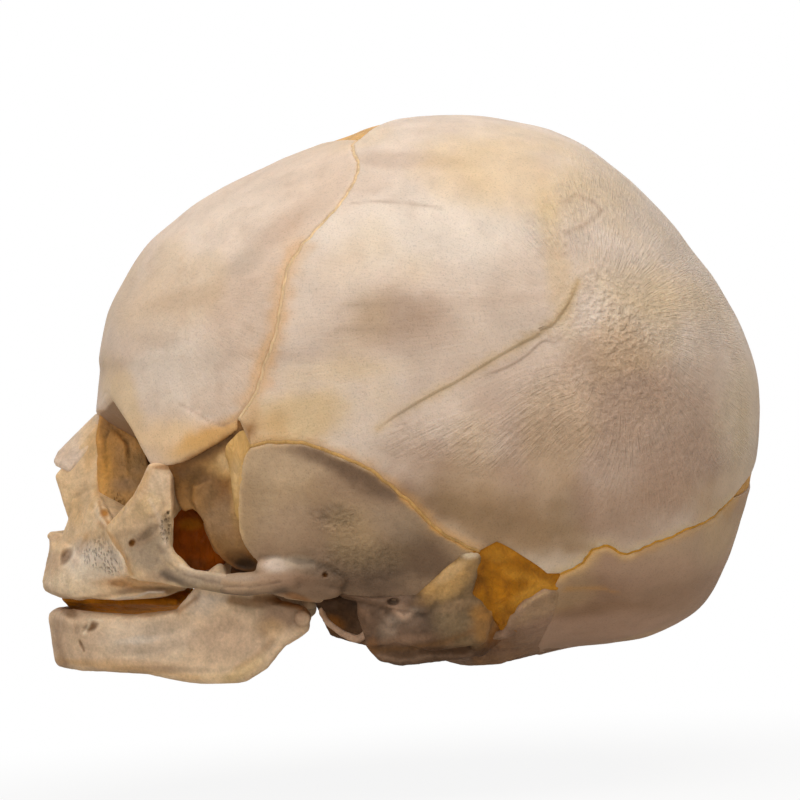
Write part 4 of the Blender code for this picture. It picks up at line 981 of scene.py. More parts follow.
def spongy_bone():
    """Dried young bone of the face and base: thin, stained and full of pores, a little greasy."""
    material, tree = new_material("dried_porous_bone")
    tone, grain, places = stored(tree, "tone", "Color"), stored(tree, "grain", "Fac"), object_places(tree)
    # Upright pores 0.3 mm wide and 0.5 mm high, open only where the bone is porous
    upright = stretched(tree, places, (2300.0, 2300.0, 1300.0))
    pores = add_node(tree, "TexVoronoi", {"Vector": upright, "Scale": 1.0, "Randomness": 1.0}, feature="F1")
    hole = ranged(tree, pores.outputs["Distance"], 0.15, 0.5)
    pitted = computed(tree, "MAXIMUM", hole, computed(tree, "SUBTRACT", 1.0, grain))
    # Stains 2 mm across and grit 0.3 mm across
    stains = noise_map(tree, places, 480.0, 4.0, 0.65)
    grit = noise_map(tree, places, 2300.0, 4.0, 0.7)
    # Pores are darker, painted shade in them
    dark = ranged(tree, pitted, 0.0, 1.0, 0.68)
    cloudy = ranged(tree, stains, 0.32, 0.68, 0.84, 1.12)
    sandy = ranged(tree, grit, 0.3, 0.7, 0.86, 1.08)
    shade = computed(tree, "MULTIPLY", computed(tree, "MULTIPLY", dark, cloudy), sandy)
    lumps = raised(tree, stains, 0.5, 0.5 * MM, raised(tree, pitted, 0.8, 0.4 * MM))
    skin = raised(tree, grit, 0.5, 0.15 * MM, lumps)
    return skin_of(material, tree, tone, shade, skin, roughness=0.5, specular=0.14, glow=0.1,
                   glow_radius=(1.0, 0.5, 0.25), glow_depth=1.0 * MM)


def membrane_skin():
    """Dried fibrous membrane: amber like parchment, creased, half clear and a little glossy."""
    material, tree = new_material("dried_membrane")
    tone, places = stored(tree, "tone", "Color"), object_places(tree)
    # Upright creases about 0.8 mm apart, and thin and thick places 3 mm across
    folds = noise_map(tree, stretched(tree, places, (1000.0, 1000.0, 380.0)), 1.0, 4.0, 0.6, 0.8)
    thin = noise_map(tree, places, 300.0, 3.0)
    # Darker between the creases and lighter on them, partly painted shade and highlight that follow their
    # bump
    shade = computed(tree, "MULTIPLY", ranged(tree, folds, 0.3, 0.7, 0.82, 1.15),
                     ranged(tree, thin, 0.3, 0.7, 0.75, 1.15))
    return skin_of(material, tree, tone, shade, raised(tree, folds, 0.8, 0.4 * MM), roughness=0.4,
                   specular=0.1, glow=0.1, glow_radius=(1.0, 0.5, 0.15), glow_depth=2.0 * MM)


MAKERS = {"cranial": cranial_bone, "spongy": spongy_bone, "membrane": membrane_skin}
MATERIALS = {}


def shared_material(kind):
    """The one material of a kind, made when it is first asked for."""
    if kind not in MATERIALS:
        MATERIALS[kind] = MAKERS[kind]()
    return MATERIALS[kind]


def dressed(piece, material, node, body="cranium"):
    """Gives a piece its material, sets it in the place of its solid and ties it to a body."""
    piece.data.materials.clear()
    piece.data.materials.append(shared_material(material))
    select_only(piece)
    bpy.ops.object.shade_smooth()
    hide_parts(node)
    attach(piece, body)


def dressed_pair(left, material, node, body="cranium"):
    """Dresses a left piece and its mirror image."""
    right = mirrored(left, left.name[:-len("left")] + "right")
    dressed(left, material, node + "_left", body)
    dressed(right, material, node + "_right", body)


# Bones of the braincase

def set_grain(piece, grain):
    """Stores how coarse or porous the bone is at each place."""
    values = piece.data.attributes.new("grain", "FLOAT", "POINT")
    values.data.foreach_set("value", np.clip(grain, 0.0, 1.0))


def plate_grain(piece, areas, least):
    """Coarse bone in the given areas of the side view: x, y, half width, half height and turn."""
    points = vertex_array(piece)
    spots = pixels(points)
    broad, close = (clouds(points, *kind) for kind in GRAIN_CLOUDS)
    grain = np.full(len(points), least)
    for area in areas:
        reach = OVAL_END - oval_reach(spots, *area) - 0.3 * broad - 0.1 * close
        grain = np.maximum(grain, smooth_share(reach / 0.8))
    set_grain(piece, grain)


FOLD_PX = (
    (578, 281), (572, 296), (566, 307), (557, 320), (541, 332), (520, 344), (497, 357), (474, 371),
    (454, 383), (440, 390), (420, 401), (400, 413), (388, 421), (377, 430),
)
SECOND_FOLD_PX = ((564, 336), (543, 341), (527, 355), (509, 366), (486, 375))
HOOK_PX = ((565, 201), (575, 195), (590, 200), (601, 210), (590, 222), (567, 233))


# A step fades out over this share of its line, and has a narrow groove at its foot
STEP_END = 0.12
GROOVE_SHARE, GROOVE_WIDTH = 0.25, 0.3 * MM


def step_along(points, line_px, height, width):
    """Depth of a small step that falls away on the lower side of a line of the side view."""
    solid = vault_points(smooth_line(on_vault(line_px), 0.4 * MM))
    places = vault_points(points)
    away, nearest = nearest_on(places, solid)
    run = np.gradient(solid, axis=0)[nearest]
    gap = places - solid[nearest]
    side = np.sign(run[:, 0] * gap[:, 2] - run[:, 2] * gap[:, 0])
    share = nearest / (len(solid) - 1)
    ends = smooth_share(share / STEP_END) * smooth_share((1.0 - share) / STEP_END)
    fall = np.exp(-away / width)
    groove = GROOVE_SHARE * np.exp(-(away / GROOVE_WIDTH) ** 2)
    return height * ends * (np.where(side > 0.0, 1.0, -0.2) * fall + groove)


def parietal_relief(points, inward):
    """Waves and lumps of the parietal bone, with the steps of its folds."""
    places = vault_points(points)
    waves, lumps = clouds(places, 11.0 * MM, 1.0), clouds(places, 2.2 * MM, 2.0)
    depth = 0.10 * MM * (1.0 + waves) + 0.03 * MM * (1.0 + lumps)
    depth += step_along(points, FOLD_PX, 0.22 * MM, 2.2 * MM)
    depth += step_along(points, SECOND_FOLD_PX, 0.12 * MM, 1.2 * MM)
    depth += 0.5 * step_along(points, HOOK_PX, 0.14 * MM, 0.6 * MM)
    return depth


def even_relief(points, inward):
    """Faint waves and lumps of smooth bone."""
    places = vault_points(points)
    waves, lumps = clouds(places, 9.0 * MM, 4.0), clouds(places, 2.0 * MM, 6.0)
    return 0.08 * MM * (1.0 + waves) + 0.03 * MM * (1.0 + lumps)


LOBE_PX = ((180, 404), (195, 412), (209, 421), (222, 426), (233, 421), (245, 404))
CRACK_PX = ((352, 203), (380, 201), (410, 203), (440, 208))
TEMPLE_GROOVE_PX = ((170, 470), (190, 461), (212, 449), (234, 436), (252, 429), (276, 424))

SUTURE_AND_TEMPLE_SHADOW_STROKES = (
    ("honey", CORONAL_PX[8:], 10, 0.55), ("cream", CORONAL_PX, 4, 0.3), ("honey", SQUAMOUS_PX, 7, 0.55),
    ("straw", CORONAL_PX, 1.6, 0.25), ("straw", TEMPLE_GROOVE_PX, 14, 0.55),
    # The dark stroke along the front of the temple groove is painted shadow under the ridge of the frontal
    # bone
    ("rust", TEMPLE_GROOVE_PX[:5], 6, 0.85),
)

FILM_STROKES = (
    ("rust", ((484, 558), (480, 575), (490, 600)), 3, 0.8),
    ("rust", ((498, 548), (520, 562), (545, 579)), 2, 0.5),
    ("honey", ((506, 572), (530, 578), (556, 590)), 5, 0.5),
    ("rust", ((512, 634), (518, 614), (532, 600)), 3, 0.7),
    ("rust", ((494, 572), (506, 582), (510, 596)), 2, 0.5),
    ("honey", ((500, 606), (508, 620), (506, 634)), 4, 0.4),
)


def vault_bone(context, name, loop, spacing, **settings):
    """A bone of the braincase, half a suture's gap inside its outline."""
    sizes = context.scene.skull_sizes
    return vault_plate(name, plate_loops()[loop], sizes.suture_gap / 2.0, spacing,
                       getattr(sizes, loop + "_wall"), **settings)


class SKULL_OT_parietals(bpy.types.Operator):
    """Both parietal bones, with the fold of periosteum across them"""
    bl_idname = "skull.parietals"
    bl_label = "Parietal Bones"

    def execute(self, context):
        creases = [smooth_line(on_vault(line), 0.5 * MM) for line in (FOLD_PX, SECOND_FOLD_PX)]
        piece = vault_bone(context, "parietal_bone_left", "parietal", 0.62 * MM, relief=parietal_relief,
                           creases=creases)
        painted(piece, "cream", (
            # The pale band over the top is a painted highlight
            ("pale", 430, 230, 130, 36, 0, 0.5), ("tan", 700, 320, 80, 190, 0, 0.1),
            ("yellow", 520, 180, 90, 40, 20, 0.45), ("yellow", 556, 260, 16, 90, -10, 0.4),
            ("yellow", 640, 290, 70, 30, 20, 0.3), ("yellow", 300, 415, 55, 30, -10, 0.7),
            ("yellow", 330, 372, 70, 14, -5, 0.3), ("stain", 384, 318, 44, 22, -10, 0.5),
            ("dusk", 385, 324, 66, 36, -12, 0.5), ("dusk", 395, 160, 66, 9, 3, 0.35),
            ("dusk", 300, 356, 44, 9, 0, 0.3), ("rose", 600, 430, 170, 90, 0, 0.55),
            # The brown and dark patches low on the bone make it darker towards the bottom, partly its own
            # colour and partly painted shade
            ("dusk", 620, 375, 46, 60, 0, 0.5), ("dusk", 500, 500, 130, 50, 12, 0.7),
            ("umber", 500, 522, 110, 30, 14, 0.9), ("bistre", 470, 512, 70, 12, 16, 0.3),
            ("slate", 566, 518, 24, 24, 20, 0.45), ("rose", 680, 480, 60, 40, -20, 0.5),
            ("dusk", 560, 440, 70, 30, 0, 0.4), ("light", 742, 420, 26, 60, 0, 0.6),
            ("dusk", 500, 300, 50, 7, -5, 0.2), ("dusk", 630, 515, 80, 34, -10, 0.55),
        ), SUTURE_AND_TEMPLE_SHADOW_STROKES + (
            # The thin dark lines along the folds and the hook are painted shadow at the foot of their steps
            ("umber", FOLD_PX, 1.5, 0.3), ("umber", FOLD_PX[:6], 2.5, 0.4), ("yellow", FOLD_PX, 5, 0.45),
            ("dusk", SECOND_FOLD_PX, 2.2, 0.4), ("stain", ((345, 306), (372, 303), (400, 304)), 2.5, 0.4),
            ("stain", ((338, 330), (366, 328), (392, 334)), 3, 0.4),
            ("stain", ((392, 322), (420, 316)), 3, 0.4),
            ("dusk", HOOK_PX, 2.2, 0.5), ("umber", CRACK_PX, 1.5, 0.5), ("yellow", LAMBDOID_PX, 6, 0.6),
            ("pale", LAMBDOID_PX, 2.5, 0.5),
        ), FIBRE_CENTRES_PX["parietal"], grime_and_shade=0.12)
        plate_grain(piece, ((650, 280, 95, 150, 0), (620, 420, 130, 80, 0), (585, 215, 60, 50, 0),
                            (480, 440, 90, 30, 0)), 0.16)
        dressed_pair(piece, "cranial", "parietal")
        return {"FINISHED"}


def frontal_relief(points, inward):
    return even_relief(points, inward) + step_along(points, LOBE_PX, 0.26 * MM, 1.0 * MM)


class SKULL_OT_frontals(bpy.types.Operator):
    """Both halves of the frontal bone, with the roofs of the orbits"""
    bl_idname = "skull.frontals"
    bl_label = "Frontal Bones"

    def execute(self, context):
        piece = vault_bone(context, "frontal_bone_left", "frontal", 0.7 * MM, relief=frontal_relief)
        roof = melted(hull_pieces("orbit_roof", ORBIT_ROOF_PX), 0.4 * MM, 2)
        box = midline_box()
        modified(roof, "BOOLEAN", object=box, operation="DIFFERENCE", solver="EXACT")
        bpy.data.objects.remove(box)
        joined(piece, roof)
        melted(piece, 0.33 * MM, 2)
        painted(piece, "blush", (
            ("pale", 175, 365, 50, 50, 0, 0.45), ("pale", 230, 230, 90, 40, -35, 0.3),
            ("yellow", 125, 405, 16, 60, -20, 0.5), ("ochre", 165, 438, 50, 22, 0, 0.85),
            ("straw", 206, 438, 40, 10, -24, 0.6),
            ("honey", 215, 436, 34, 16, -20, 0.5), ("dusk", 285, 225, 36, 12, -40, 0.35),
            ("dusk", 180, 300, 40, 12, -15, 0.3), ("dusk", 155, 340, 30, 10, 0, 0.25),
            ("dusk", 225, 300, 20, 40, 10, 0.25), ("ash", 245, 262, 22, 10, -30, 0.3),
            # The dark patch along the lower edge is painted shade where the bone turns downward
            ("umber", 200, 458, 30, 8, -25, 0.5),
        # The dark line along the lobe is painted shadow at the foot of its step
        ), SUTURE_AND_TEMPLE_SHADOW_STROKES + (("dusk", LOBE_PX, 1.6, 0.5),), FIBRE_CENTRES_PX["frontal"], "umber", 0.12)
        plate_grain(piece, (), 0.16)
        dressed_pair(piece, "cranial", "frontal")
        return {"FINISHED"}


BOX_SIDE = 0.3
MIDLINE_GAP = 0.35 * MM


def midline_box():
    """Box over the right half, up to the gap beside the mid-plane."""
    bpy.ops.object.select_all(action="DESELECT")
    bpy.ops.mesh.primitive_cube_add(size=BOX_SIDE, location=(0.0, BOX_SIDE / 2.0 - MIDLINE_GAP, 0.05))
    box = bpy.context.object
    box.name = "right_half"
    bpy.ops.object.transform_apply()
    return box


class SKULL_OT_temporals(bpy.types.Operator):
    """Both temporal squamae with their zygomatic processes and jaw sockets"""
    bl_idname = "skull.temporals"
    bl_label = "Temporal Squamae"

    def execute(self, context):
        piece = vault_bone(context, "temporal_bone_left", "temporal", 0.6 * MM, top=0.05 * MM,
                           relief=even_relief)
        joined(piece, hull_pieces("zygomatic_process", ZYGOMATIC_PROCESS_PX))
        melted(piece, 0.28 * MM, 5)
        roughened(piece, 1.8 * MM, 0.12 * MM)
        carved(piece, ((325, 575, 2.5, 2.5, 0, 5), (335, 516, 26, 14, 10, 1.0), (296, 596, 16, 5, 20, 2)),
               ((((226, 592), (250, 597), (272, 592)), 3, -1),
                   (((222, 586), (250, 587), (280, 582)), 2, 1.0)))
        painted(piece, "squama", (
            ("tan", 285, 466, 46, 18, 0, 0.6), ("grey", 365, 474, 62, 18, 32, 0.95),
            ("grey", 330, 458, 44, 10, 14, 0.7), ("slate", 335, 514, 24, 12, 10, 0.5),
            ("stain", 262, 500, 12, 50, 0, 0.3), ("tan", 285, 510, 24, 40, 0, 0.3),
            # The pale top of the zygomatic process is a painted highlight
            ("cream", 275, 564, 18, 9, 0, 1.0), ("light", 300, 562, 24, 7, 6, 0.6),
            ("slate", 365, 566, 80, 30, 0, 0.85), ("grey", 330, 588, 50, 14, 0, 0.8),
            ("grey", 425, 552, 44, 26, 30, 0.85), ("ash", 395, 522, 34, 20, 20, 0.4),
            # The dark spot in the carved pit is painted shade in it
            ("rust", 325, 575, 2.5, 2.5, 0, 1.0), ("slate", 390, 592, 34, 12, 0, 0.6),
            ("ash", 240, 577, 26, 4, 0, 0.6),
            ("umber", 285, 580, 30, 7, 0, 0.5), ("rust", 298, 598, 18, 4, 20, 0.7),
        # The light strokes along the squamous edge are a painted highlight
        ), (("straw", SQUAMOUS_PX, 3.0, 0.7), ("light", SQUAMOUS_PX, 1.6, 0.4),
            ("light", SQUAMOUS_PX[:8], 3.0, 0.5),
            ("wheat", TEMPORAL_FRONT_PX[:4], 4, 0.8),
            # The dark grey under the arch is painted shade on its lower side
            ("shade_grey", ((214, 592), (236, 596), (262, 596), (284, 590)), 4.5, 0.8),
            ("honey", SQUAMOUS_PX[9:], 3.2, 0.7)),
            FIBRE_CENTRES_PX["temporal"], grime_and_shade=0.3)
        plate_grain(piece, ((335, 520, 30, 20, 10), (360, 560, 50, 24, 0)), 0.2)
        dressed_pair(piece, "cranial", "temporal_squama")
        return {"FINISHED"}


class SKULL_OT_occipital(bpy.types.Operator):
    """The squama of the occipital bone"""
    bl_idname = "skull.occipital"
    bl_label = "Occipital Squama"

    def execute(self, context):
        piece = vault_bone(context, "occipital_bone", "occipital", 0.7 * MM, across=True,
                           relief=even_relief)
        painted(piece, "dusk", (
            ("tan", 690, 545, 70, 34, -25, 0.6), ("umber", 640, 600, 140, 24, -8, 0.5),
            ("umber", 585, 590, 50, 20, 0, 0.6), ("rose", 660, 570, 50, 16, -10, 0.5),
            ("brown", 600, 610, 60, 8, -4, 0.3),
            ("rose", 610, 630, 90, 16, -6, 0.9),
        ), (("straw", LAMBDOID_PX, 6, 0.6), ("wheat", LAMBDOID_PX[:8], 5, 0.8),
            ("honey", LAMBDOID_PX[:7], 1.6, 0.7),
            ("honey", ((566, 589), (601, 588), (617, 593)), 2, 0.4)),
            FIBRE_CENTRES_PX["occipital"], grime_and_shade=0.12)
        plate_grain(piece, (), 0.12)
        dressed(piece, "cranial", "occipital_squama")
        return {"FINISHED"}


def widened(loop, share, across=False):
    """The outline drawn out from its middle, so that its film reaches under the bones around it."""
    middle = loop.mean(axis=0)
    wide = middle + (loop - middle) * share
    if across:
        wide[[0, -1]] = to_midline(wide[[0, -1]])
    return wide


class SKULL_OT_membranes(bpy.types.Operator):
    """Dried membranes of the sutures, the fontanelles, the orbits and the palate"""
    bl_idname = "skull.membranes"
    bl_label = "Sutures and Membranes"

    def execute(self, context):
        sizes = context.scene.skull_sizes
        strip = (sizes.suture_gap + 0.5 * MM, 0.12 * MM, 0.8 * MM)
        for name, tone in (("coronal", "ochre"), ("squamous", "straw"), ("lambdoid", "honey")):
            film = ribbon(name + "_suture_membrane_left", suture_line(name), *strip)
            dressed_pair(painted(film, tone, cloudy=0.3), "membrane", name + "_suture")
        for name in MIDLINE_SUTURES:
            film = ribbon(name + "_suture_membrane", suture_line(name), *strip)
            dressed(painted(film, "straw", cloudy=0.3), "membrane", name + "_suture")
        loops = plate_loops()
        for name in ("anterior", "posterior"):
            film = vault_plate(name + "_fontanelle_membrane", widened(loops[name], 1.04, True), 0.0, 0.8 * MM,
                               0.5 * MM, 0.3 * MM, True, even_relief)
            dressed(painted(film, "honey"), "membrane", name + "_fontanelle")
        for name, table, share, ground, patches in (
                ("sphenoidal_fontanelle", SPHENOIDAL_FONTANELLE_PX, 1.0, "straw", (
                    ("wheat", 236, 480, 6, 30, 0, 0.5),)),
                ("mastoid_fontanelle", MASTOID_FONTANELLE_PX, 1.2, "amber", (
                    ("honey", 532, 592, 26, 9, -32, 1.0), ("rust", 474, 582, 8, 13, 0, 0.9),
                    ("rust", 500, 562, 10, 4, 10, 0.5),
                    ("honey", 500, 556, 18, 8, 0, 0.4), ("rust", 508, 622, 7, 18, 0, 0.5)))):
            loop = widened(resampled(smooth_loop(on_vault(table)), LINE_STEP), share)
            film = vault_plate(name + "_membrane_left", loop, 0.0, 0.5 * MM, 0.5 * MM, 0.25 * MM,
                               relief=even_relief)
            roughened(film, 2.2 * MM, 0.45 * MM)
            carved(film, ((500, 562, 12, 5, 10, 2.5), (476, 582, 8, 9, 0, 3), (520, 604, 8, 5, -40, 2)), (
                (((486, 556), (505, 568), (518, 586), (512, 612)), 3, -2.5),
                (((514, 560), (540, 580), (562, 594)), 3, -2), (((496, 600), (514, 594), (530, 594)), 3, -2)))
            painted(film, ground, patches, FILM_STROKES, cloudy=0.0)
            dressed_pair(film, "membrane", name)
        film = grown("orbital_membrane_left", "orbital_film_left", ORBIT_FILM_PX, height=0.5 * MM)
        # The orange is painted light shining through the membrane, brightest at the top and darker at the
        # bottom
        painted(film, "glow", (("deep", 186, 566, 24, 8, 0, 0.5), ("flame", 190, 524, 12, 6, 0, 0.4)),
                cloudy=0.0)
        dressed_pair(film, "membrane", "orbital_membrane")
        film = grown("palate_membrane", "palate_film", PALATE_FILM_PX, height=0.4 * MM)
        # The bright orange is painted light shining through the membrane, darker at the front
        painted(film, "flame", (("glow", 120, 604, 90, 12, 0, 0.5), ("rust", 74, 604, 14, 10, 0, 0.7)),
                cloudy=0.0)
        dressed(film, "membrane", "palate_membrane")
        return {"FINISHED"}


# Bones of the base and the face, refined from their solids

def floored(piece):
    """Keeps a piece on or above the floor."""
    points = vertex_array(piece)
    points[:, 2] = np.maximum(points[:, 2], 0.0)
    set_vertices(piece, points)
    return piece


# The temple sinks this far, within so many pixels of the frontal bone and ahead of its rear edge
TEMPLE_SUNK = 2.0 * MM
TEMPLE_FADE_PX, TEMPLE_REAR_PX, TEMPLE_RUN_PX = 26.0, 240.0, 50.0
# Depth that a solid sinks under the plate that covers it
COVERED_DEPTH = 1.6 * MM


def temple_plate():
    """The outer face of the greater wing: flush with the frontal bone, sunk towards the orbit."""
    loop = resampled(smooth_loop(on_vault(TEMPLE_PX)), LINE_STEP)
    plate = vault_plate("temple", loop, 0.0, 0.6 * MM, 1.0 * MM, 0.35 * MM, relief=even_relief)
    points = vertex_array(plate)
    spots = pixels(points)
    below = smooth_share(pixel_distance(spots, FRONTAL_TEMPLE_PX) / TEMPLE_FADE_PX)
    points[:, 1] += TEMPLE_SUNK * below * smooth_share((TEMPLE_REAR_PX - spots[:, 0]) / TEMPLE_RUN_PX)
    set_vertices(plate, points)
    return plate


def grown(node, name, forms=(), voxel=0.24 * MM, rounds=4, grain=1.6 * MM, height=0.14 * MM, plate=None):
    """The solid of a node with rounder forms over it, as one slightly rough skin."""
    piece = copy_of_node(node, name)
    if forms:
        joined(piece, hull_pieces(name + "_forms", forms))
    if plate:
        points = vertex_array(piece)
        points[:, 1] += COVERED_DEPTH
        set_vertices(piece, points)
        joined(piece, plate)
    melted(piece, voxel, rounds)
    roughened(piece, grain, height)
    return floored(piece)


class SKULL_OT_base(bpy.types.Operator):
    """Bones of the skull's base"""
    bl_idname = "skull.base"
    bl_label = "Base of the Skull"

    def execute(self, context):
        piece = grown("petromastoid_left", "petromastoid_bone_left", PETROMASTOID_FORMS_PX, height=0.22 * MM)
        roughened(piece, 1.0 * MM, 0.12 * MM)
        carved(piece, ((393, 602, 6, 3.5, 0, 7), (470, 612, 14, 9, 0, 1.5)),
               ((((420, 603), (450, 599), (480, 604)), 5, -1.5),
                   (((376, 650), (420, 648), (470, 640)), 5, 1.5),
                (((394, 610), (404, 618), (414, 612)), 3, -2), (((382, 614), (390, 624)), 3, -2),
                (((364, 612), (374, 632), (372, 646)), 4, -2),
                (((484, 606), (494, 620), (490, 636)), 3, 1.5)))
        painted(piece, "bistre", (
            ("straw", 446, 579, 36, 16, -36, 0.95), ("wheat", 452, 571, 22, 6, -36, 0.6),
            ("light", 471, 554, 11, 5, -8, 0.9), ("slate", 432, 620, 50, 16, 0, 0.8),
            ("ash", 402, 616, 20, 7, -20, 0.6), ("ash", 386, 632, 12, 10, 0, 0.5),
            ("deep", 420, 654, 60, 6, -4, 0.6), ("rust", 490, 628, 18, 17, 0, 0.95),
            # The near-black pit and the dark inside of the ring of the ear are painted shade in those hollows
            ("amber", 482, 612, 12, 8, 0, 0.6), ("pit", 393, 602, 6, 3.5, 0, 1.0),
            ("deep", 342, 618, 26, 22, 30, 0.95), ("rust", 334, 622, 12, 8, 30, 0.8),
            ("slate", 400, 598, 30, 8, 0, 0.5),
            ("umber", 406, 640, 34, 6, -6, 0.6), ("dusk", 402, 612, 12, 8, 30, 0.7),
            ("rust", 372, 646, 8, 10, 0, 0.5), ("umber", 458, 606, 20, 6, -10, 0.5),
        ), (("brown", ((372, 650), (410, 648), (446, 642), (474, 630)), 3, 0.7),
            ("dusk", ((378, 656), (400, 661), (430, 656), (470, 656)), 2.5, 0.4)), grime_and_shade=0.3)
        plate_grain(piece, (), 0.05)
        dressed_pair(piece, "spongy", "petromastoid")
        piece = grown("exoccipital_left", "exoccipital_bone_left", EXOCCIPITAL_FORMS_PX)
        painted(piece, "umber", (
            ("rose", 545, 622, 26, 22, 0, 0.5), ("brown", 495, 660, 40, 7, -6, 0.6),
            ("rust", 504, 646, 10, 8, 0, 0.3),
        ), (("rose", ((504, 634), (516, 614), (530, 601), (546, 592)), 5, 0.6),
            ("wheat", ((524, 606), (534, 599), (546, 593)), 2.2, 0.5)), grime_and_shade=0.15)
        plate_grain(piece, (), 0.1)
        dressed_pair(piece, "spongy", "exoccipital")
        for node in ("basioccipital", "sphenoid_body"):
            piece = painted(grown(node, node + "_bone"), "brown", grime_and_shade=0.35)
            plate_grain(piece, (), 0.3)
            dressed(piece, "spongy", node)
        piece = grown("greater_wing_left", "greater_wing_bone_left", height=0.14 * MM, plate=temple_plate())
        carved(piece, ((240, 560, 16, 9, 20, 4), (196, 486, 10, 16, 20, 2)),
               ((((193, 512), (204, 528), (212, 550)), 4, -2),
                   (((180, 468), (206, 454), (232, 438)), 5, 1.2)))
        painted(piece, "wing", (
            ("straw", 224, 466, 18, 13, -20, 0.85), ("wheat", 228, 462, 12, 10, 0, 0.7),
            ("umber", 222, 516, 18, 26, 0, 0.7), ("straw", 236, 494, 7, 40, 0, 0.6),
            # The dark patches at the front and under the frontal bone's edge are painted shade where the wing
            # sinks below it, and the near-black patch at the rear bottom is painted shade in a hollow
            ("rust", 188, 494, 10, 22, 0, 0.8), ("deep", 190, 474, 14, 8, -20, 0.5),
            ("brown", 232, 548, 16, 14, 20, 0.7), ("pit", 246, 564, 18, 9, 10, 0.95),
            ("umber", 205, 526, 6, 14, -20, 0.4), ("glow", 212, 490, 14, 18, 0, 0.35),
            ("deep", 212, 490, 14, 18, 0, 0.6),
        # The dark stroke along the temple groove is painted shadow under the frontal bone's edge
        ), (("deep", TEMPLE_GROOVE_PX, 7, 0.75),
            ("rust", ((184, 512), (192, 511), (201, 522), (213, 552)), 2.5, 0.7)),
            grime_and_shade=0.35)
        plate_grain(piece, (), 0.05)
        dressed_pair(piece, "spongy", "greater_wing")
        piece = grown("tympanic_ring_left", "tympanic_ring_bone_left", (), 0.2 * MM, 3, 1.0 * MM, 0.08 * MM)
        painted(piece, "dusk", (("rust", 330, 612, 14, 10, 0, 0.4),), grime_and_shade=0.3)
        plate_grain(piece, (), 0.1)
        dressed_pair(piece, "spongy", "tympanic_ring")
        return {"FINISHED"}


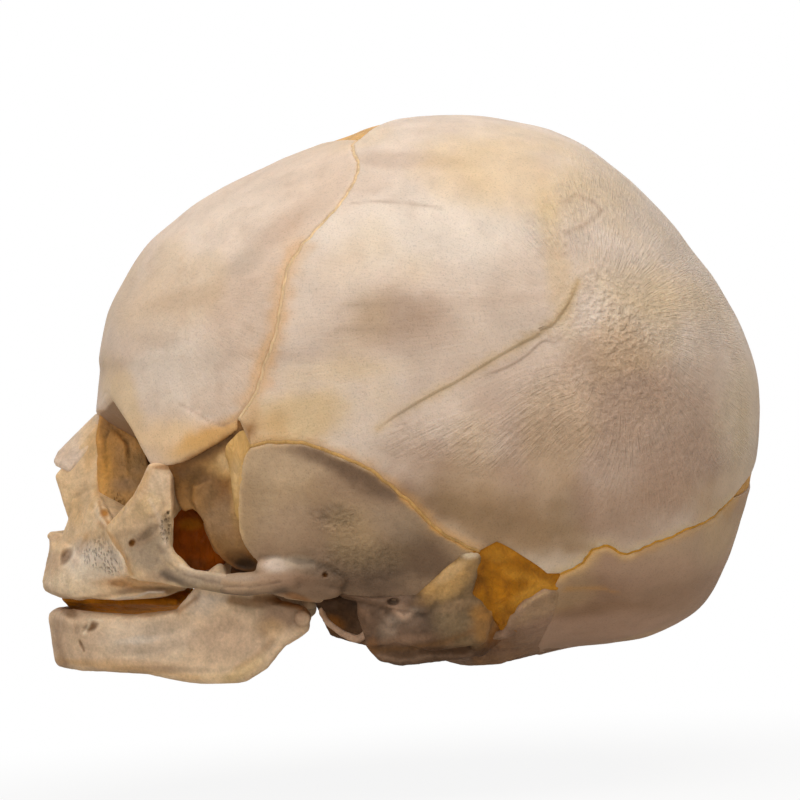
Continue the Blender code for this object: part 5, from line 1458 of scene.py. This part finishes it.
class SKULL_OT_face(bpy.types.Operator):
    """Bones of the face above the mouth"""
    bl_idname = "skull.face"
    bl_label = "Face"

    def execute(self, context):
        piece = grown("maxilla_left", "maxilla_bone_left", MAXILLA_FORMS_PX, 0.22 * MM, 3)
        carved(piece, (
            (66, 557, 5, 10, 32, 4.5), (104, 513, 6, 6, 0, 4), (82, 500, 9, 18, 10, 2),
            (120, 584, 9, 4, 10, 2),
            (150, 588, 16, 3, 0, 2), (84, 546, 4, 7, 20, 1),
        ), (
            (((117, 545), (127, 560), (136, 577)), 1.6, 2.5), (((94, 499), (98, 514), (107, 527)), 3, -2),
            (((70, 598), (110, 599), (150, 592), (165, 592)), 1.8, -2), (((60, 500), (66, 522)), 3, -1.5),
        ))
        painted(piece, "ochre", (
            # The pale patches on the bulges over the teeth are partly a painted highlight
            ("pale", 96, 562, 34, 20, 0, 0.7), ("light", 70, 585, 30, 14, 0, 0.6),
            # The darker spots in the carved hole are painted shade in it
            ("umber", 66, 557, 4.5, 9, 32, 0.8), ("brown", 64, 552, 3, 5, 32, 0.6),
            ("tan", 84, 470, 18, 40, 0, 0.3),
            ("dusk", 66, 450, 14, 14, 0, 0.3), ("amber", 104, 513, 6, 5, 0, 0.9),
            # The brown and rust along the lower edge are partly the bone's colour and partly painted shade in
            # its crevice
            ("rust", 122, 584, 14, 4, 10, 0.5), ("brown", 152, 590, 36, 4, 0, 0.7),
            ("amber", 130, 582, 36, 6, 0, 0.45),
            ("straw", 92, 452, 8, 26, 15, 0.5), ("amber", 106, 524, 8, 5, 0, 0.5),
            ("straw", 76, 512, 8, 16, 0, 0.4),
            ("umber", 84, 498, 8, 14, 10, 0.3), ("dusk", 54, 538, 10, 5, 0, 0.4),
            ("dusk", 52, 562, 10, 12, 0, 0.4), ("dusk", 84, 546, 9, 7, 0, 0.3),
            ("light", 96, 570, 16, 8, 0, 0.6),
        ), (
            # The dark strokes lie in crevices and along the lower edge, partly the bone's colour and partly
            # painted shade
            ("rust", ((117, 545), (127, 560), (136, 577)), 1.8, 0.8),
            ("light", ((94, 499), (98, 514), (107, 527)), 2.5, 0.6),
            ("rust", ((99, 502), (103, 516), (110, 526)), 1.5, 0.6),
            ("umber", ((46, 590), (58, 597), (80, 599), (104, 596), (130, 590)), 3, 0.6),
            ("amber", ((86, 536), (80, 550), (76, 566)), 3, 0.3),
            ("straw", ((100, 470), (98, 490), (92, 505)), 4, 0.5),
            ("pale", ((112, 599), (136, 597), (149, 592), (163, 592)), 1.5, 0.9),
        ), grime_and_shade=0.22)
        plate_grain(piece, ((98, 554, 16, 13, 0), (112, 566, 10, 8, 30)), 0.0)
        dressed_pair(piece, "spongy", "maxilla")
        piece = grown("zygomatic_left", "zygomatic_bone_left", ZYGOMATIC_FORMS_PX, 0.22 * MM, 3)
        carved(piece, (
            (132, 543, 3, 3.5, 30, 5), (168, 513, 1.5, 1.5, 0, 4), (165, 528, 5, 12, 0, 1.4),
            (148, 534, 14, 4, -35, 1.2), (175, 492, 4, 16, 0, 2.5), (150, 556, 16, 8, 0, 0.8),
        ), (
            (((168, 580), (195, 589), (226, 594)), 2.5, 1.5), (((170, 478), (172, 500), (170, 516)), 3, -2),
            (((112, 526), (130, 512), (144, 492)), 3, -1.2),
            (((182, 568), (204, 574), (228, 577)), 2.2, -1.0),
        ))
        painted(piece, "ochre", (
            ("dusk", 156, 500, 34, 44, 0, 0.45), ("light", 158, 486, 9, 20, 0, 0.4),
            ("yellow", 146, 506, 16, 10, -40, 0.3),
            ("ash", 150, 550, 30, 22, 0, 0.85), ("umber", 148, 534, 22, 7, -38, 0.6),
            ("slate", 150, 532, 12, 4, -38, 0.5), ("slate", 167, 527, 5, 13, 0, 0.75),
            # The dark spots in the two carved pits are painted shade in them
            ("rust", 132, 543, 3, 4, 30, 1.0), ("pit", 168, 513, 1.6, 1.6, 0, 1.0),
            ("umber", 179, 490, 6, 20, 0, 0.8), ("rust", 179, 510, 6, 8, 0, 0.6),
            ("ash", 190, 576, 44, 9, 4, 0.85), ("umber", 122, 534, 12, 5, -20, 0.4),
            ("stain", 222, 580, 16, 10, 0, 0.7), ("rust", 164, 467, 14, 3, 0, 0.7),
            ("dusk", 158, 578, 20, 6, 0, 0.4),
        ), (
            # The dark grey under the arch is painted shade on its lower side
            ("shade_grey", ((164, 574), (184, 585), (205, 590), (232, 594)), 4.5, 0.85),
            ("slate", ((184, 574), (206, 580), (228, 584)), 1.6, 0.7),
            ("slate", ((158, 545), (166, 560), (178, 570)), 2, 0.5),
            ("cream", ((150, 500), (160, 520), (166, 545)), 2.5, 0.4),
            ("stain", ((140, 552), (158, 560), (176, 576)), 2, 0.6),
            ("umber", ((153, 476), (160, 490), (164, 505)), 1.4, 0.3),
            ("straw", ((146, 474), (134, 496), (118, 514), (106, 526)), 4, 0.5),
            ("ash", ((150, 520), (158, 540), (170, 558), (190, 572)), 4, 0.4),
            ("amber", ((104, 529), (119, 547), (132, 574)), 3, 0.5),
            # The light stroke along the top edge of the arch is a painted highlight
            ("light", ((180, 565), (198, 571), (228, 575)), 2.0, 0.5),
        ), grime_and_shade=0.22)
        plate_grain(piece, ((166, 528, 5, 12, 0),), 0.0)
        dressed_pair(piece, "spongy", "zygomatic")
        piece = grown("lacrimal_left", "lacrimal_bone_left", ORBIT_WALL_PX, 0.22 * MM, 3, 2.4 * MM, 0.35 * MM)
        painted(piece, "socket", (
            # The brown at the top and the dark patch by the frontal bone's edge are painted shade under the
            # roof of the orbit
            ("brown", 112, 420, 10, 16, 0, 0.5), ("deep", 140, 464, 10, 14, 0, 0.6),
            ("honey", 106, 474, 7, 26, 0, 0.5), ("brown", 122, 462, 8, 12, 0, 0.4),
            ("umber", 128, 484, 16, 8, 0, 0.6), ("rust", 116, 506, 14, 8, 0, 0.5),
        ), grime_and_shade=0.5)
        plate_grain(piece, ((112, 506, 16, 12, 0),), 0.1)
        dressed_pair(piece, "spongy", "lacrimal")
        for node, tone, forms in (("nasal", "blush", NASAL_FORMS_PX), ("palatine", "brown", ()),
                                  ("inferior_concha", "brown", ())):
            piece = grown(node + "_left", node + "_bone_left", forms, 0.2 * MM, 3, height=0.08 * MM)
            painted(piece, tone, (("dusk", 62, 450, 12, 10, 0, 0.3), ("wheat", 92, 440, 14, 20, 0, 0.6)),
                    grime_and_shade=0.3)
            plate_grain(piece, (), 0.0)
            dressed_pair(piece, "spongy", node)
        for node in ("ethmoid", "vomer"):
            piece = painted(grown(node, node + "_bone", (), 0.22 * MM, 2), "brown", grime_and_shade=0.5)
            plate_grain(piece, (), 0.1)
            dressed(piece, "spongy", node)
        return {"FINISHED"}


class SKULL_OT_jaw(bpy.types.Operator):
    """Both halves of the lower jaw, and the cartilage between them"""
    bl_idname = "skull.jaw"
    bl_label = "Lower Jaw"

    def execute(self, context):
        piece = grown("mandible_left", "mandible_bone_left", MANDIBLE_FORMS_PX)
        carved(piece, (
            (72, 613, 10, 6, 20, 3), (91, 627, 8, 5, -25, 4.5), (82, 646, 2, 6, -25, 2.5),
            (77, 630, 3, 5, 0, 1.5),
            (162, 628, 26, 10, -10, 1.4), (226, 640, 30, 22, 0, 1.4), (128, 645, 30, 8, 0, -0.8),
            (238, 606, 16, 8, 20, 2.0), (86, 606, 12, 3, 0, 2),
        ), (
            (((232, 600), (262, 603), (286, 606)), 5, -2), (((240, 670), (260, 652), (274, 634)), 5, -2.0),
            (((200, 677), (240, 674), (260, 662)), 4, -1.6), (((84, 634), (92, 620), (102, 621)), 1.8, -1.6),
            (((96, 612), (140, 618), (184, 611)), 3, -1.0), (((56, 640), (60, 668)), 4, -1.5),
        ))
        painted(piece, "peach", (
            ("pale", 150, 640, 60, 20, 0, 0.3), ("rose", 228, 640, 42, 26, 0, 0.4),
            ("amber", 120, 664, 60, 5, 2, 0.25),
            ("stain", 166, 626, 24, 8, -10, 0.4), ("ash", 132, 648, 22, 6, 0, 0.3),
            ("pale", 138, 640, 20, 4, -5, 0.5), ("yellow", 244, 670, 28, 8, -35, 0.6),
            ("yellow", 215, 677, 30, 5, 0, 0.3), ("dusk", 72, 640, 30, 40, 0, 0.45),
            # The brown in the two carved pits is painted shade in them
            ("brown", 70, 613, 9, 5, 20, 0.7), ("brown", 91, 627, 6, 4, -25, 0.9),
            # The brown bands along the top edge, here and below, are painted shade under the upper jaw
            ("brown", 246, 602, 34, 6, 8, 0.8), ("umber", 286, 616, 30, 18, 0, 0.8),
            ("straw", 270, 628, 16, 12, 0, 0.4),
            ("brown", 282, 602, 24, 5, 14, 0.8),
            ("cream", 202, 604, 18, 14, 0, 0.5), ("umber", 150, 670, 60, 4, 0, 0.5),
            ("umber", 58, 664, 12, 6, 0, 0.5), ("brown", 72, 604, 24, 4, 0, 0.7),
        ), (("light", ((84, 634), (91, 620), (102, 621)), 1.8, 0.8),
            ("brown", ((80, 641), (84, 651)), 1.5, 0.6),
            # The rust strokes along the top edge and the crease by the ramus are painted shade
            ("rust", ((62, 605), (100, 610), (140, 614), (180, 610), (196, 598)), 3.5, 0.65),
            ("rust", ((256, 597), (276, 600), (296, 604), (308, 612)), 4, 0.7),
            ("umber", ((270, 606), (262, 622), (264, 640)), 5, 0.35),
            ("pale", ((204, 600), (222, 598)), 6, 0.4),
            ("straw", ((60, 660), (100, 666), (150, 672), (196, 678)), 5, 0.4),
            ("umber", ((112, 655), (150, 650), (190, 640), (230, 622)), 7, 0.25),
            ("umber", ((56, 622), (58, 645), (66, 664)), 6, 0.5),
            ("rust", ((236, 668), (256, 656), (272, 640)), 3, 0.3)),
            grime_and_shade=0.22)
        plate_grain(piece, (), 0.04)
        dressed_pair(piece, "spongy", "mandible", "lower_jaw")
        piece = painted(grown("mandibular_symphysis", "jaw_cartilage", (), 0.2 * MM, 2), "umber", grime_and_shade=0.4)
        plate_grain(piece, (), 0.1)
        dressed(piece, "spongy", "mandibular_symphysis", "lower_jaw")
        return {"FINISHED"}


# Stage

FLOOR_SIDE = 6.0
# Lamps: name, place, diameter and power
LAMPS = (("sky_light", (0.1, -0.26, 0.72), 0.6, 3.35), ("side_light", (-0.38, -0.78, 0.42), 0.5, 2.35))
LAMP_AIM = Vector((0.0, 0.0, 0.05))
# Distances from the middle of the floor over which its shadow fades, and how white it is within them
SHADOW_START, SHADOW_END, SHADOW_WHITE = 0.05, 0.16, 0.9
WORLD_FILL = 0.3
SENSOR_WIDTH = 36.0
CLIP_START = 0.01


def area_light(name, location, size, power):
    """A round lamp aimed at the skull."""
    bpy.ops.object.select_all(action="DESELECT")
    bpy.ops.object.light_add(type="AREA", location=location)
    light = bpy.context.object
    light.name = name
    light.rotation_euler = (LAMP_AIM - Vector(location)).to_track_quat("-Z", "Y").to_euler()
    light.data.shape = "DISK"
    light.data.size = size
    light.data.energy = power


def pale_floor(colours):
    """Matt white paper that keeps the shadow near the skull and shows white to the camera."""
    material, tree = new_material("white_paper")
    paper = add_node(tree, "BsdfDiffuse", {"Color": (*colours.floor, 1.0)})
    white = add_node(tree, "Emission", {"Strength": 1.0})
    away = add_node(tree, "VectorMath", {0: object_places(tree)}, operation="LENGTH")
    far = add_node(tree, "MapRange", {
        "Value": away.outputs["Value"], "From Min": SHADOW_START, "From Max": SHADOW_END,
        "To Min": SHADOW_WHITE, "To Max": 1.0}, interpolation_type="SMOOTHSTEP")
    path = add_node(tree, "LightPath")
    seen = computed(tree, "MULTIPLY", path.outputs["Is Camera Ray"], far.outputs[0])
    mix = add_node(tree, "MixShader", {0: seen, 1: paper.outputs[0], 2: white.outputs[0]})
    return finished(material, tree, mix)


def white_world(scene):
    """White to the camera and in reflections, and a dimmer fill light on the rest."""
    scene.world = bpy.data.worlds.new("studio")
    scene.world.use_nodes = True
    tree = scene.world.node_tree
    tree.nodes.clear()
    path = add_node(tree, "LightPath")
    shown = computed(tree, "MAXIMUM", path.outputs["Is Camera Ray"], path.outputs["Is Glossy Ray"])
    fill = ranged(tree, shown, 0.0, 1.0, WORLD_FILL)
    sky = add_node(tree, "Background", {"Strength": fill, "Color": (1.0, 1.0, 1.0, 1.0)})
    add_node(tree, "OutputWorld", {"Surface": sky.outputs[0]})


class SKULL_OT_stage(bpy.types.Operator):
    """White floor, soft light from above, white background and the side camera"""
    bl_idname = "skull.stage"
    bl_label = "Stage"

    def execute(self, context):
        bpy.ops.object.select_all(action="DESELECT")
        bpy.ops.mesh.primitive_plane_add(size=FLOOR_SIDE, location=(0.0, 0.0, FLOOR_HEIGHT))
        floor = context.object
        floor.name = "floor"
        floor.data.materials.append(pale_floor(context.scene.skull_colours))
        for name, location, size, power in LAMPS:
            area_light(name, location, size, power)
        white_world(context.scene)
        bpy.ops.object.camera_add()
        camera = context.object
        camera.name = "side_camera"
        camera.matrix_world = (RESTING @ Matrix.Translation((0.0, -CAMERA_DISTANCE, 0.0))
                               @ Matrix.Rotation(math.pi / 2.0, 4, "X"))
        camera.data.sensor_width = SENSOR_WIDTH
        camera.data.lens = SENSOR_WIDTH * CAMERA_DISTANCE / (IMAGE_PX * PX)
        camera.data.clip_start = CLIP_START
        context.scene.camera = camera
        context.scene.view_settings.view_transform = "Standard"
        return {"FINISHED"}


class SkullSizes(bpy.types.PropertyGroup):
    """Sizes of the finished bones"""
    suture_gap: FloatProperty(name="Suture gap", description="Gap between two bones of the braincase",
                              default=0.36 * MM, unit="LENGTH")
    frontal_wall: FloatProperty(name="Frontal wall", description="Thickness of the frontal bone",
                                default=1.3 * MM, unit="LENGTH")
    parietal_wall: FloatProperty(name="Parietal wall", description="Thickness of the parietal bone",
                                 default=1.4 * MM, unit="LENGTH")
    temporal_wall: FloatProperty(name="Temporal wall", description="Thickness of the temporal squama",
                                 default=1.5 * MM, unit="LENGTH")
    occipital_wall: FloatProperty(name="Occipital wall", description="Thickness of the occipital squama",
                                  default=1.6 * MM, unit="LENGTH")


class SkullColours(bpy.types.PropertyGroup):
    """Colours of the stage"""
    floor: FloatVectorProperty(name="Floor", description="Paper that the skull stands on", subtype="COLOR",
                               default=linear("#CFCBC4"))


PIECES = (SKULL_OT_parietals, SKULL_OT_frontals, SKULL_OT_temporals, SKULL_OT_occipital,
          SKULL_OT_membranes, SKULL_OT_base, SKULL_OT_face, SKULL_OT_jaw, SKULL_OT_stage)


class SKULL_PT_panel(bpy.types.Panel):
    """Builds the skull piece by piece"""
    bl_label = "Fetal Skull"
    bl_space_type = "VIEW_3D"
    bl_region_type = "UI"
    bl_category = "Skull"

    def draw(self, context):
        for group in (context.scene.skull_sizes, context.scene.skull_colours):
            for name in group.__annotations__:
                self.layout.prop(group, name)
        for piece in PIECES:
            self.layout.operator(piece.bl_idname)


CLASSES = (SkullSizes, SkullColours, *PIECES, SKULL_PT_panel)


def register():
    for kind in CLASSES:
        bpy.utils.register_class(kind)
    bpy.types.Scene.skull_sizes = PointerProperty(type=SkullSizes)
    bpy.types.Scene.skull_colours = PointerProperty(type=SkullColours)


def unregister():
    del bpy.types.Scene.skull_colours
    del bpy.types.Scene.skull_sizes
    for kind in reversed(CLASSES):
        bpy.utils.unregister_class(kind)


def main():
    register()
    bpy.ops.skull.parietals()
    bpy.ops.skull.frontals()
    bpy.ops.skull.temporals()
    bpy.ops.skull.occipital()
    bpy.ops.skull.membranes()
    bpy.ops.skull.base()
    bpy.ops.skull.face()
    bpy.ops.skull.jaw()
    bpy.ops.skull.stage()


if __name__ == "__main__":
    main()
